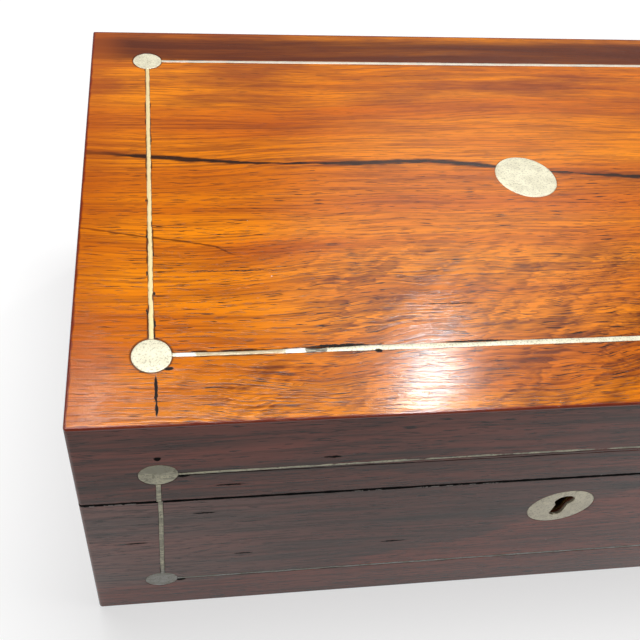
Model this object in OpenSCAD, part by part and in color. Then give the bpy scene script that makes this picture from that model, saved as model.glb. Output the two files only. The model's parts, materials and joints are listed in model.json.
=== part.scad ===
// Writing slope: a veneered box that opens on a sloping seam into one long writing surface.
// The origin is on the table, under the middle of the closed case: X along the front,
// Y from the lock side to the hinge side, Z up. All sizes are in millimetres.

/* [Case] */
// Width of the closed case
case_w = 356; // [320:1:420]
// Depth of the closed case, front to back
case_d = 218; // [200:1:260]
// Height of the closed case
case_h = 142; // [134:1:160]
// Height of the seam between base and lid, at the front
seam_front = 94.5; // [88:0.5:100]
// Thickness of the carcass boards
board_t = 8; // [7.5:0.25:10]
// Thickness of the bottom board
bottom_t = 7; // [5:0.5:9]
// Thickness of the veneer
veneer_t = 1; // [0.8:0.1:1.5]
// Gap between the two rims when the case is shut
seam_gap = 0.3; // [0.2:0.05:0.4]
// Radius of the four upright corners
corner_r = 1.5; // [0.5:0.1:2]
// Radius of the edge round the lid's top
arris_r = 0.6; // [0.3:0.1:0.7]

/* [Inlay] */
// Diameter of the small inlaid discs
disc_d = 12.7; // [9:0.1:16]
// Diameter of the medallion in the middle of the lid
medallion_d = 25; // [18:0.5:32]
// Width of the metal stringing
string_w = 1.6; // [1:0.1:2.4]
// Distance from the lid's edges to the line on its top
top_inset = 25.4; // [18:0.2:34]
// Distance from the ends of the front to its upright lines
front_inset = 26.5; // [18:0.5:34]
// Distance from the lid's top down to the line on its front
lid_line_drop = 29; // [24:0.5:33]
// Height of the line on the base's front
base_line_z = 26; // [18:0.5:32]
// Glue line round each inlay
inlay_gap = 0.1; // [0.05:0.05:0.15]
// Sideways step between the upright lines of the base and of the lid
string_slip = 0.5; // [0:0.1:0.8]

/* [Lock] */
// Diameter of the round escutcheon
escutcheon_d = 25; // [20:0.5:28]
// Height of the escutcheon's middle
key_z = 71; // [68:0.5:73]
// Radius of the keyhole's round head
key_head_r = 3.7; // [2.8:0.1:4]
// Height of that head's middle above the escutcheon's middle
key_head_up = 4.5; // [3:0.1:5]
// Width of the keyhole's slot
key_slot_w = 4.9; // [3.5:0.1:5.2]
// Length of the slot, from the head's middle to the middle of its round end
key_slot_l = 9.25; // [7:0.25:10]
// Width of the lock case
lock_w = 46; // [42:1:50]
// Depth of the lock case that is let into the front board
lock_t = 7; // [6.8:0.1:7.2]
// Distance from the escutcheon's middle down to the lock case's foot
lock_below = 11; // [9:0.5:14]
// Thickness of the lock case's walls
lock_wall = 0.8; // [0.6:0.1:0.9]
// Width of the plate let into the rim above the lock, and of the link plate
selvedge_w = 64; // [60:1:70]
// Thickness of both plates
selvedge_t = 1.5; // [1:0.1:2]
// Distance of each staple from the middle
staple_x = 13; // [12:0.5:15]
// Thickness of a staple along the bolt's travel
staple_t = 2; // [1.5:0.1:2.2]
// Length of a staple below the lid's rim
staple_l = 9; // [8.5:0.1:10]
// Travel of the bolt
bolt_travel = 4.5; // [4:0.1:5]
// Working clearance inside the lock
lock_play = 0.3; // [0.2:0.05:0.35]

/* [Hinges] */
// Distance of each hinge's middle from the middle of the case
butt_x = 110; // [80:1:130]
// Length of a hinge
butt_l = 38; // [32:1:50]
// Thickness of a hinge leaf
leaf_t = 1.5; // [1:0.1:1.8]
// Radius of a hinge knuckle
knuckle_r = 2.5; // [2.2:0.1:3]
// Radius of the hinge pin
pin_r = 1.2; // [1:0.05:1.4]
// Radial clearance of the pin in the lid's knuckle
pin_play = 0.05; // [0.03:0.01:0.08]
// Gap between neighbouring knuckles
knuckle_gap = 0.2; // [0.1:0.05:0.3]
// Distance of the hinge pin's middle behind the case
pin_out = 0.5; // [0.3:0.1:1]

/* [Writing flaps] */
// Thickness of a flap board
flap_t = 5; // [4:0.25:6]
// Thickness of the leather
leather_t = 0.8; // [0.5:0.1:1.2]
// Depth of the leather's face behind the seam
flap_drop = 0.5; // [0.45:0.05:0.8]
// Gap round a flap
flap_gap = 0.5; // [0.4:0.05:0.7]
// Width of the fixed rail that a flap is hinged to
rail_w = 12; // [9:0.5:16]
// Gap between the rail and the flap, under the leather
crease = 0.3; // [0.2:0.05:0.4]
// Width and height of the ledges under a flap
ledge_w = 8; // [6:0.5:10]
// Gap between a flap and its ledges
ledge_gap = 0.2; // [0.1:0.05:0.4]
// Width of the ribbon tab
ribbon_w = 12; // [8:0.5:16]
// Length of the ribbon tab
ribbon_l = 13; // [10:0.5:16]
// Thickness of the ribbon
ribbon_t = 0.3; // [0.2:0.05:0.4]

/* [Flap catch] */
// Distance of the catch's pivot from the middle of the case
catch_x = 70; // [50:1:90]
// Length of the catch from its pivot to its tip
catch_l = 8; // [7.5:0.1:9]
// Width of the catch
catch_w = 5.6; // [5:0.1:6]
// Thickness of the catch
catch_t = 1.2; // [1:0.1:1.5]

/* [Pens and ink] */
// Width of the pen compartment, front to back
pen_w = 46; // [42:1:52]
// Thickness of the divider behind it
divider_t = 5; // [4:0.5:7]
// Width of each ink compartment
ink_w = 44; // [42.6:0.2:50]
// Thickness of the ink partitions
partition_t = 3; // [2:0.5:5]
// Side of a square ink bottle
bottle_w = 41; // [36:0.5:41.5]
// Height of the bottle up to its shoulder
bottle_h = 36; // [28:1:40]
// Radius of the bottle's bore
bottle_bore_r = 15; // [12:0.5:16.5]
// Radius of the bottle's neck
neck_r = 11; // [9:0.5:12]
// Radius of the neck's bore
neck_bore_r = 7.5; // [6:0.5:8]
// Height of the neck
neck_h = 7; // [6:0.5:9]
// Wall of the brass collar cemented round the neck
collar_t = 1.4; // [1:0.1:1.8]
// Wall of the brass cap
cap_t = 1.2; // [1:0.1:1.6]
// Radial clearance between the cap and its collar
cap_play = 0.05; // [0.03:0.01:0.08]
// Clearance between the cap's knob and the slope of the seam
cap_clear = 2.5; // [2:0.5:5]
// Radius of the pen trough
trough_r = 17; // [14:0.5:19]
// Height of the trough's axis above the top of the tray
trough_up = 3; // [2:0.5:5]
// Thickness of the pen tray
tray_h = 20.5; // [18:0.5:24]
// Gap round the tray and the bottles
tray_gap = 0.4; // [0.3:0.05:0.6]
// Thickness of the lining paper
paper_t = 0.3; // [0.2:0.05:0.5]

/* [Screws] */
// Radius of a screw's shank
screw_r = 1.1; // [0.9:0.05:1.2]
// Radius of a screw's head
screw_head_r = 2; // [1.8:0.1:2.2]
// Length of a screw
screw_l = 8; // [6:0.5:10]

/* [Hidden] */
$fn = 64;

// Colours of the finishes
rosewood = [0.36, 0.13, 0.06];
mahogany = [0.45, 0.23, 0.12];
white_metal = [0.80, 0.78, 0.70];
brass_yellow = [0.72, 0.55, 0.25];
steel_grey = [0.45, 0.44, 0.42];
green_leather = [0.08, 0.20, 0.12];
red_ribbon = [0.45, 0.06, 0.08];
lining_paper = [0.30, 0.36, 0.46];
clear_glass = [0.75, 0.85, 0.85, 0.5];

// Half sizes of the case, of the carcass inside the veneer, and of the hollow inside that
half_w = case_w / 2;
half_d = case_d / 2;
core_x = half_w - veneer_t;
core_y = half_d - veneer_t;
cave_x = core_x - board_t;
cave_y = core_y - board_t;
roof_z = case_h - veneer_t - board_t;
reach = 2 * case_w;

// The seam is a plane through the hinge axis, so that the open rims lie in one slope
hinge_y = half_d + pin_out;
hinge_z = case_h / 2;
seam_rise = (seam_front - hinge_z) / (hinge_y + half_d);
seam_a = atan(seam_rise);
rim = seam_gap / 2;
function seam_z(y) = hinge_z + (hinge_y - y) * seam_rise;
// Distance along the seam from the hinge axis to the upright plane at y
function along_seam(y) = (hinge_y - y) / cos(seam_a);

// Pen compartment and divider
divider_y0 = pen_w - cave_y;
divider_y1 = divider_y0 + divider_t;
pen_mid_y = (divider_y0 - cave_y) / 2;
part_x = cave_x - ink_w;
divider_drop = flap_drop + 0.3;

// Flap layers, measured from the seam
leather_low = flap_drop + leather_t;
flap_low = leather_low + flap_t;
pivot_l = along_seam(cave_y) + rail_w;
flap_x = cave_x - flap_gap;

// Lock
lock_front_y = -cave_y - lock_t;
lock_foot_z = key_z - lock_below;
head_z = key_z + key_head_up;
lock_fit = 0.1;
slot_grow = 0.5;
lock_hollow_y = lock_front_y + lock_wall;
plate_y = -cave_y - lock_wall;
staple_swing = 0.9;
staple_y = lock_hollow_y + lock_play + 0.1;
staple_w = plate_y - lock_play - staple_swing - staple_y;
staple_leg = 0.8;
bolt_y = staple_y + staple_leg + lock_play;
bolt_t = staple_w - 2 * staple_leg - 2 * lock_play;
staple_foot_z = seam_z(staple_y + staple_w) - staple_l;
finger_h = 2.4;
eye_foot = 1.2;
finger_z = staple_foot_z + eye_foot + lock_play;
spine_h = 3.5;
spine_drop = 1;
spine_z = staple_foot_z - spine_h - spine_drop;
stud_r = 1.25;
stud_in = 8;
stud_x = lock_w / 2 - stud_in;
lock_roof = selvedge_t - 0.3;
plate_lean = (rim + selvedge_t) * tan(seam_a) + 0.02;

// Ink bottles: the floor under them follows from the room below the seam
cap_r = neck_r + collar_t + cap_play + cap_t;
cap_seat = 0.3;
knob_h = 3;
knob_r = 5;
knob_waist_r = 3.2;
cap_edge = 0.8;
cap_foot = 0.4;
cap_h = neck_h + cap_seat + cap_t;
ink_x = cave_x - ink_w / 2;
knob_top_z = seam_z(pen_mid_y + cap_r) - cap_clear;
neck_foot_z = knob_top_z - knob_h - cap_h;
ink_floor_z = neck_foot_z - bottle_h;
bottle_floor = 5;
bottle_corner = 4;
tray_top_z = seam_z(divider_y0) - 2.1;
tray_foot_z = tray_top_z - tray_h;
tray_ledge = 6;

// Knuckles of a hinge: the base has the outer two and the lid the middle one
knuckle_l = (butt_l - 2 * knuckle_gap) / 3;
leaf_w = along_seam(cave_y) - 0.9;
leaf_back = knuckle_r + 0.2;
notch_r = knuckle_r + 0.3;
screw_fit = 0.05;
head_h = 1;
butt_screws = [-butt_l / 3, 0, butt_l / 3];
butt_screw_l = (leaf_w + leaf_back) / 2;
rim_screw_x = selvedge_w / 2 - 4;
rim_mid_l = along_seam(-(half_d + cave_y) / 2);

// Catch: it lies in a pocket below the rim, and swings over the flap's edge
catch_top = rim + 0.5;
pocket_low = catch_top + catch_t + 0.3;
pocket_side = 0.4;
catch_head = 0.35;

// A block between two corners
module block(a, b) {
    translate(a) cube(b - a);
}

// Moves its children from a level frame on the hinge axis to the sloping seam
module seam_frame() {
    translate([0, hinge_y, hinge_z]) rotate([-seam_a, 0, 0]) children();
}

// All that lies further than drop below the seam, or above it
module below_seam(drop) {
    seam_frame() block([-reach, -reach, -reach], [reach, reach, -drop]);
}
module above_seam(drop) {
    seam_frame() block([-reach, -reach, drop], [reach, reach, reach]);
}

// A layer that follows the seam: side -1 is in the base and 1 in the lid, near and far are
// its distances from the seam, and l0 and l1 run forwards from the hinge axis
module seam_layer(side, x0, x1, l0, l1, near, far) {
    low = side < 0 ? -far : near;
    high = side < 0 ? -near : far;
    seam_frame() block([x0, -l1, low], [x1, -l0, high]);
}

// The hollow of the case, which the pieces inside are trimmed to
module hollow() {
    block([-cave_x, -cave_y, bottom_t], [cave_x, cave_y, roof_z]);
}

// One side of a mitred frame between two rectangles: 0 front, 1 right, 2 back, 3 left
module frame_side(i, ox, oy, ix, iy, z0, z1) {
    o = [[-ox, -oy], [ox, -oy], [ox, oy], [-ox, oy]];
    n = [[-ix, -iy], [ix, -iy], [ix, iy], [-ix, iy]];
    j = (i + 1) % 4;
    translate([0, 0, z0]) linear_extrude(z1 - z0) polygon([o[i], o[j], n[j], n[i]]);
}

// The outline of the case with its rounded upright corners
module case_outline() {
    x = half_w - corner_r;
    y = half_d - corner_r;
    square([2 * half_w, 2 * y], center = true);
    square([2 * x, 2 * half_d], center = true);
    for (i = [-1, 1], j = [-1, 1]) translate([i * x, j * y]) circle(corner_r);
}

module base_board(i) {
    intersection() {
        frame_side(i, core_x, core_y, cave_x, cave_y, bottom_t, case_h);
        below_seam(rim);
    }
}

module lid_board(i) {
    intersection() {
        frame_side(i, core_x, core_y, cave_x, cave_y, 0, roof_z);
        above_seam(rim);
    }
}

module base_veneer(i) {
    intersection() {
        frame_side(i, half_w, half_d, core_x, core_y, 0, case_h);
        linear_extrude(case_h) case_outline();
        below_seam(rim);
    }
}

module lid_veneer(i) {
    intersection() {
        frame_side(i, half_w, half_d, core_x, core_y, 0, case_h - veneer_t);
        linear_extrude(case_h) case_outline();
        above_seam(rim);
    }
}

// A countersunk screw with its head's face at z = 0 and its point below, or its hole
module screw(grow, length) {
    r = screw_r + grow;
    head = screw_head_r + grow;
    difference() {
        union() {
            translate([0, 0, -head_h]) cylinder(r1 = r, r2 = head, h = head_h);
            translate([0, 0, -length - grow]) cylinder(r = r, h = length + grow);
        }
        if (grow == 0) {
            block([-screw_head_r, -0.25, -0.4], [screw_head_r, 0.25, 1]);
        }
    }
}

// Screws along the seam frame: side -1 points down into the base, 1 up into the lid
module seam_screws(side, xs, l, depth, grow, length) {
    for (x = xs) {
        seam_frame() translate([x, -l, side * depth]) {
            if (side < 0) screw(grow, length);
            else mirror([0, 0, 1]) screw(grow, length);
        }
    }
}

// Round and straight inlays, drawn flat in the plane of a face
module disc_at(p, d, grow) {
    translate(p) circle(d / 2 + grow);
}
module line_between(a, b, grow) {
    w = string_w / 2 + grow;
    if (a[0] == b[0]) translate([a[0] - w, a[1]]) square([2 * w, b[1] - a[1]]);
    else translate([a[0], a[1] - w]) square([b[0] - a[0], 2 * w]);
}

top_x = half_w - top_inset;
top_y = half_d - top_inset;
front_x = half_w - front_inset;
lid_line_z = case_h - lid_line_drop;
disc_r = disc_d / 2;

module top_discs(grow) {
    for (i = [-1, 1], j = [-1, 1]) disc_at([i * top_x, j * top_y], disc_d, grow);
}
module top_lines(grow) {
    for (j = [-1, 1]) line_between([-top_x, j * top_y], [top_x, j * top_y], grow);
    for (i = [-1, 1]) line_between([i * top_x, -top_y], [i * top_x, top_y], grow);
}
module front_discs(z, grow) {
    for (i = [-1, 1]) disc_at([i * front_x, z], disc_d, grow);
}
module lid_front_lines(grow) {
    line_between([-front_x, lid_line_z], [front_x, lid_line_z], grow);
    for (i = [-1, 1]) line_between([i * front_x, hinge_z], [i * front_x, lid_line_z], grow);
}
module base_front_lines(grow) {
    x = front_x - string_slip;
    line_between([-front_x, base_line_z], [front_x, base_line_z], grow);
    for (i = [-1, 1]) line_between([i * x, base_line_z], [i * x, case_h], grow);
}
module keyhole() {
    translate([0, head_z]) circle(key_head_r);
    translate([-key_slot_w / 2, head_z - key_slot_l]) square([key_slot_w, key_slot_l]);
    translate([0, head_z - key_slot_l]) circle(key_slot_w / 2);
}

// Carries a flat drawing of the top, or of the front, through the veneer
module in_top(grow) {
    translate([0, 0, case_h - veneer_t - grow]) linear_extrude(veneer_t + 2 * grow) children();
}
module in_front(y0, y1) {
    translate([0, y1, 0]) rotate([90, 0, 0]) linear_extrude(y1 - y0) children();
}

module base_bottom_board() {
    color(mahogany) block([-core_x, -core_y, 0], [core_x, core_y, bottom_t]);
}

// The lock is let into the front board from inside and from above
module lock_room(grow) {
    x = lock_w / 2 + grow;
    block([-x, lock_front_y - grow, lock_foot_z - grow], [x, reach, reach]);
}
// The plate's end is square to the seam, so it stops short of the upright veneer
module selvedge(side, grow) {
    x = selvedge_w / 2 + min(grow, lock_fit);
    l0 = along_seam(-cave_y);
    l1 = along_seam(-core_y) - plate_lean;
    seam_layer(side, -x, x, l0 - grow, l1 + grow, rim - grow, rim + selvedge_t);
}
module lock_screw_set(side, grow) {
    l = along_seam(-(core_y + cave_y) / 2);
    seam_screws(side, [-rim_screw_x, rim_screw_x], l, rim, grow, screw_l);
}

module base_front_board() {
    color(mahogany) difference() {
        base_board(0);
        lock_room(lock_fit);
        selvedge(-1, 1);
        in_front(-half_d - 1, 0) keyhole();
        lock_screw_set(-1, screw_fit);
    }
}

// Notches for the knuckles and recesses for the leaves
module butt_notches(side) {
    for (i = [-1, 1]) {
        x0 = i * butt_x - butt_l / 2 - lock_fit;
        x1 = i * butt_x + butt_l / 2 + lock_fit;
        seam_layer(side, x0, x1, -reach, leaf_w + lock_fit, -1, rim + leaf_t);
        seam_frame() translate([x0, 0, 0]) rotate([0, 90, 0]) cylinder(r = notch_r, h = x1 - x0);
    }
}
module butt_screw_set(side, grow) {
    for (i = [-1, 1]) {
        xs = [for (x = butt_screws) i * butt_x + x];
        seam_screws(side, xs, butt_screw_l, rim, grow, screw_l);
    }
}

module base_back_board() {
    color(mahogany) difference() {
        base_board(2);
        butt_notches(-1);
        butt_screw_set(-1, screw_fit);
    }
}
module base_left_board() {
    color(mahogany) base_board(3);
}
module base_right_board() {
    color(mahogany) base_board(1);
}

module base_front_veneer() {
    color(rosewood) difference() {
        base_veneer(0);
        in_front(-half_d - 1, 0) {
            front_discs(base_line_z, inlay_gap);
            base_front_lines(inlay_gap);
            disc_at([0, key_z], escutcheon_d, inlay_gap);
        }
    }
}
module base_back_veneer() {
    color(rosewood) difference() {
        base_veneer(2);
        butt_notches(-1);
    }
}
module base_left_veneer() {
    color(rosewood) base_veneer(3);
}
module base_right_veneer() {
    color(rosewood) base_veneer(1);
}

module base_discs() {
    color(white_metal) in_front(-half_d, -core_y) front_discs(base_line_z, 0);
}
module base_stringing() {
    color(white_metal) difference() {
        intersection() {
            in_front(-half_d, -core_y) base_front_lines(0);
            below_seam(rim);
        }
        in_front(-half_d - 1, 0) front_discs(base_line_z, inlay_gap);
    }
}
module keyhole_escutcheon() {
    color(white_metal) in_front(-half_d, -core_y) difference() {
        disc_at([0, key_z], escutcheon_d, 0);
        keyhole();
    }
}

module staple_slots() {
    w = staple_t / 2 + slot_grow;
    y0 = staple_y - lock_play;
    for (i = [-1, 1]) {
        block([i * staple_x - w, y0, staple_foot_z], [i * staple_x + w, plate_y, reach]);
    }
}
module lock_case() {
    x = lock_w / 2;
    color(brass_yellow) difference() {
        union() {
            difference() {
                union() {
                    intersection() {
                        block([-x, lock_front_y, lock_foot_z], [x, plate_y, reach]);
                        below_seam(rim + selvedge_t / 2);
                    }
                    selvedge(-1, 0);
                }
                intersection() {
                    block([lock_wall - x, lock_hollow_y, lock_foot_z + lock_wall],
                        [x - lock_wall, plate_y + 0.2, reach]);
                    below_seam(rim + lock_roof);
                }
            }
            for (i = [-1, 1]) translate([i * stud_x, plate_y, spine_z - stud_r - 0.1]) {
                rotate([90, 0, 0]) cylinder(r = stud_r, h = plate_y - lock_hollow_y + lock_wall / 2);
            }
        }
        in_front(-half_d - 1, lock_hollow_y + 1) keyhole();
        staple_slots();
        lock_screw_set(-1, screw_fit);
    }
}
module lock_back_plate() {
    x = lock_w / 2;
    color(brass_yellow) intersection() {
        block([-x, plate_y, lock_foot_z], [x, -cave_y, reach]);
        below_seam(rim + selvedge_t);
    }
}
module lock_screws() {
    color(steel_grey) lock_screw_set(-1, 0);
}

// The bolt is drawn back at rest, and its fingers pass through the staples when it slides right
module lock_bolt() {
    tip = staple_x - staple_t / 2 - 0.6;
    root = staple_x - staple_t / 2 - lock_play - bolt_travel;
    post = 2.5;
    span = stud_x + 3;
    color(steel_grey) difference() {
        union() {
            block([-span - 1, lock_hollow_y + lock_play, spine_z],
                [span - 1 - bolt_travel / 2, plate_y - lock_play, spine_z + spine_h]);
            for (x = [-2 * staple_x, 0]) {
                block([x + root - post, bolt_y, spine_z],
                    [x + root, bolt_y + bolt_t, finger_z + finger_h]);
                block([x + root - post, bolt_y, finger_z],
                    [x + tip, bolt_y + bolt_t, finger_z + finger_h]);
            }
        }
        block([-3, -reach, spine_z - 1], [3, 0, spine_z + 1.5]);
    }
}

// The leaf lies in its rim, and reaches the hinge axis only where its own knuckles are
module butt_leaf(side, ranges, bore_r) {
    for (i = [-1, 1]) {
        x0 = i * butt_x - butt_l / 2;
        difference() {
            union() {
                seam_layer(side, x0, x0 + butt_l, leaf_back, leaf_w, rim, rim + leaf_t);
                for (r = ranges) {
                    seam_layer(side, x0 + r[0], x0 + r[1], 0, leaf_back + 1, rim, rim + leaf_t);
                    seam_frame() translate([x0 + r[0], 0, 0]) rotate([0, 90, 0]) {
                        cylinder(r = knuckle_r, h = r[1] - r[0]);
                    }
                }
            }
            seam_frame() translate([x0 - 1, 0, 0]) rotate([0, 90, 0]) {
                cylinder(r = bore_r, h = butt_l + 2);
            }
        }
    }
}
module base_hinge_leaves() {
    outer = [[0, knuckle_l], [butt_l - knuckle_l, butt_l]];
    color(brass_yellow) difference() {
        butt_leaf(-1, outer, pin_r + 0.02);
        butt_screw_set(-1, screw_fit);
    }
}
module lid_hinge_leaves() {
    inner = [[knuckle_l + knuckle_gap, butt_l - knuckle_l - knuckle_gap]];
    color(brass_yellow) difference() {
        butt_leaf(1, inner, pin_r + pin_play);
        butt_screw_set(1, screw_fit);
    }
}
module hinge_pins() {
    color(steel_grey) for (i = [-1, 1]) {
        seam_frame() translate([i * butt_x - butt_l / 2, 0, 0]) rotate([0, 90, 0]) {
            cylinder(r = pin_r, h = butt_l);
        }
    }
}
module base_hinge_screws() {
    color(brass_yellow) butt_screw_set(-1, 0);
}
module lid_hinge_screws() {
    color(brass_yellow) butt_screw_set(1, 0);
}

module pen_well_divider() {
    color(mahogany) intersection() {
        block([-cave_x, divider_y0, bottom_t], [cave_x, divider_y1, reach]);
        below_seam(divider_drop);
    }
}
module ink_partitions() {
    color(mahogany) for (i = [-1, 1]) {
        x0 = min(i * part_x, i * (part_x - partition_t));
        intersection() {
            block([x0, -cave_y, bottom_t], [x0 + partition_t, divider_y0, reach]);
            below_seam(divider_drop);
        }
    }
}
module inkwell_platforms() {
    color(mahogany) for (i = [-1, 1]) {
        x0 = min(i * part_x, i * cave_x);
        block([x0, -cave_y, bottom_t], [x0 + ink_w, divider_y0, ink_floor_z]);
    }
}
module pen_tray() {
    x = part_x - partition_t - tray_gap;
    end = x - trough_r - 4;
    color(mahogany) difference() {
        block([-x, tray_gap - cave_y, tray_foot_z], [x, divider_y0 - tray_gap, tray_top_z]);
        translate([-end, pen_mid_y, tray_top_z + trough_up]) {
            rotate([0, 90, 0]) cylinder(r = trough_r, h = 2 * end);
            sphere(trough_r);
            translate([2 * end, 0, 0]) sphere(trough_r);
        }
    }
}
module pen_tray_ledges() {
    x = part_x - partition_t;
    z = tray_foot_z - ledge_gap;
    color(mahogany) {
        block([-x, -cave_y, z - tray_ledge], [x, tray_ledge - cave_y, z]);
        block([-x, divider_y0 - tray_ledge, z - tray_ledge], [x, divider_y0, z]);
    }
}

module bottle_outline() {
    a = bottle_w - 2 * bottle_corner;
    square([bottle_w, a], center = true);
    square([a, bottle_w], center = true);
    for (i = [-1, 1], j = [-1, 1]) {
        translate([i * a / 2, j * a / 2]) circle(bottle_corner);
    }
}
module ink_bottle(x) {
    top = bottle_h + neck_h;
    translate([x, pen_mid_y, ink_floor_z]) difference() {
        union() {
            linear_extrude(bottle_h) bottle_outline();
            cylinder(r = neck_r, h = top);
        }
        translate([0, 0, bottle_floor]) cylinder(r = bottle_bore_r, h = bottle_h - 2 * bottle_floor);
        translate([0, 0, bottle_h / 2]) cylinder(r = neck_bore_r, h = top);
    }
}
module ink_bottles() {
    color(clear_glass) for (i = [-1, 1]) ink_bottle(i * ink_x);
}
module ink_bottle_collars() {
    color(brass_yellow) for (i = [-1, 1]) translate([i * ink_x, pen_mid_y, neck_foot_z]) {
        difference() {
            cylinder(r = neck_r + collar_t, h = neck_h - 1);
            translate([0, 0, -1]) cylinder(r = neck_r + 0.05, h = neck_h + 1);
        }
    }
}
// A turned cap: a skirt over the collar, a flat top and a low round knob
module ink_cap(x) {
    inner = neck_r + collar_t + cap_play;
    color(brass_yellow) translate([x, pen_mid_y, neck_foot_z]) rotate_extrude() {
        polygon([[inner, cap_foot], [cap_r, cap_foot], [cap_r, cap_h - cap_edge],
            [cap_r - cap_edge, cap_h], [knob_r, cap_h], [knob_waist_r, cap_h + knob_h / 3],
            [knob_r, cap_h + knob_h * 2 / 3], [knob_r - cap_edge, cap_h + knob_h],
            [0, cap_h + knob_h], [0, cap_h - cap_t], [inner, cap_h - cap_t]]);
    }
}
module left_ink_cap() {
    ink_cap(-ink_x);
}
module right_ink_cap() {
    ink_cap(ink_x);
}

// Ledges carry the flap along both sides and along its free edge
module flap_ledges(side, free_y, back_y) {
    near = flap_low + ledge_gap;
    far = near + ledge_w;
    intersection() {
        hollow();
        block([-reach, free_y, 0], [reach, back_y, case_h]);
        union() {
            for (i = [-1, 1]) {
                x0 = min(i * cave_x, i * (cave_x - ledge_w));
                seam_layer(side, x0, x0 + ledge_w, 0, reach, near, far);
            }
            intersection() {
                seam_layer(side, ledge_w - cave_x, cave_x - ledge_w, 0, reach, near, far);
                block([-reach, free_y, 0], [reach, free_y + ledge_w, case_h]);
            }
        }
    }
}
module base_flap_ledges() {
    color(mahogany) flap_ledges(-1, divider_y1, cave_y);
}
module lid_flap_ledges() {
    color(mahogany) flap_ledges(1, -cave_y, cave_y);
}
module rail_layer(side, near, far) {
    intersection() {
        seam_layer(side, -cave_x, cave_x, 0, pivot_l - crease / 2, near, far);
        hollow();
    }
}
module base_hinge_rail() {
    color(mahogany) rail_layer(-1, leather_low, flap_low + ledge_gap);
}
module base_rail_leather() {
    color(green_leather) rail_layer(-1, flap_drop, leather_low);
}
module lid_hinge_rail() {
    color(mahogany) rail_layer(1, leather_low, flap_low + ledge_gap);
}
module lid_rail_leather() {
    color(green_leather) rail_layer(1, flap_drop, leather_low);
}

base_flap_l = along_seam(divider_y1 + flap_gap + (flap_low - flap_drop) * sin(seam_a));
lid_flap_l = along_seam(flap_gap - cave_y);
module flap_layer(side, near, far) {
    end = side < 0 ? base_flap_l : lid_flap_l;
    seam_layer(side, -flap_x, flap_x, pivot_l + crease / 2, end, near, far);
}
module base_flap_board() {
    color(mahogany) flap_layer(-1, leather_low, flap_low);
}
module base_flap_leather() {
    color(green_leather) flap_layer(-1, flap_drop, leather_low);
}
module base_flap_ribbon() {
    color(red_ribbon) seam_layer(-1, -ribbon_w / 2, ribbon_w / 2, base_flap_l - ribbon_l / 2,
        base_flap_l + ribbon_l / 2, flap_drop - ribbon_t, flap_drop);
}

// The catch swings through a quarter turn about its screw, from along the rim to over the flap
module catch_plan(grow) {
    r = catch_w / 2 + grow;
    circle(r);
    translate([0, -r]) square([catch_l - catch_w / 2, 2 * r]);
    translate([catch_l - catch_w / 2, 0]) circle(r);
}
module catch_sweep() {
    far = catch_l + pocket_side;
    catch_plan(pocket_side);
    rotate(90) catch_plan(pocket_side);
    intersection() {
        circle(far);
        square(far);
    }
}
module at_catch(z0, z1) {
    seam_frame() translate([catch_x, -rim_mid_l, z0]) linear_extrude(z1 - z0) children();
}
module flap_catch() {
    color(brass_yellow) difference() {
        at_catch(catch_top, catch_top + catch_t) catch_plan(0);
        at_catch(catch_top - 1, catch_top + catch_t + 1) circle(screw_r + pin_play);
    }
}
module catch_screw(grow) {
    at_catch(rim + 0.1, catch_top - 0.05) circle(screw_head_r + grow);
    at_catch(rim + 0.1, catch_top + screw_l) circle(screw_r + grow);
}
module catch_pocket() {
    at_catch(-1, pocket_low) catch_sweep();
}

module lid_flap_board() {
    color(mahogany) difference() {
        flap_layer(1, leather_low, flap_low);
        catch_pocket();
    }
}
module lid_flap_leather() {
    color(green_leather) difference() {
        flap_layer(1, flap_drop, leather_low);
        catch_pocket();
    }
}

module base_well_lining() {
    color(lining_paper) block([-cave_x, divider_y1, bottom_t], [cave_x, cave_y, bottom_t + paper_t]);
}
module lid_well_lining() {
    color(lining_paper) block([-cave_x, -cave_y, roof_z - paper_t], [cave_x, cave_y, roof_z]);
}

module lid_top_board() {
    color(mahogany) block([-core_x, -core_y, roof_z], [core_x, core_y, case_h - veneer_t]);
}
module lid_front_board() {
    color(mahogany) difference() {
        lid_board(0);
        selvedge(1, 1);
        lock_screw_set(1, screw_fit);
        catch_pocket();
        catch_screw(screw_fit);
    }
}
module lid_back_board() {
    color(mahogany) difference() {
        lid_board(2);
        butt_notches(1);
        butt_screw_set(1, screw_fit);
    }
}
module lid_left_board() {
    color(mahogany) lid_board(3);
}
module lid_right_board() {
    color(mahogany) lid_board(1);
}

// The top veneer covers the edges of the side veneers, and its arris is rounded
module arris_profile(half) {
    z0 = case_h - veneer_t;
    translate([-half, z0]) square([2 * half, veneer_t - arris_r]);
    translate([arris_r - half, z0]) square([2 * (half - arris_r), veneer_t]);
    for (i = [-1, 1]) translate([i * (half - arris_r), case_h - arris_r]) {
        intersection() {
            circle(arris_r);
            translate([-arris_r, 0]) square([2 * arris_r, arris_r]);
        }
    }
}
module lid_top_veneer() {
    color(rosewood) difference() {
        intersection() {
            in_top(0) case_outline();
            in_front(-half_d, half_d) arris_profile(half_w);
            rotate([0, 0, 90]) in_front(-half_w, half_w) arris_profile(half_d);
        }
        in_top(1) {
            top_discs(inlay_gap);
            top_lines(inlay_gap);
            disc_at([0, 0], medallion_d, inlay_gap);
        }
    }
}
module lid_front_veneer() {
    color(rosewood) difference() {
        lid_veneer(0);
        in_front(-half_d - 1, 0) {
            front_discs(lid_line_z, inlay_gap);
            lid_front_lines(inlay_gap);
        }
    }
}
module lid_back_veneer() {
    color(rosewood) difference() {
        lid_veneer(2);
        butt_notches(1);
    }
}
module lid_left_veneer() {
    color(rosewood) lid_veneer(3);
}
module lid_right_veneer() {
    color(rosewood) lid_veneer(1);
}

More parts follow.
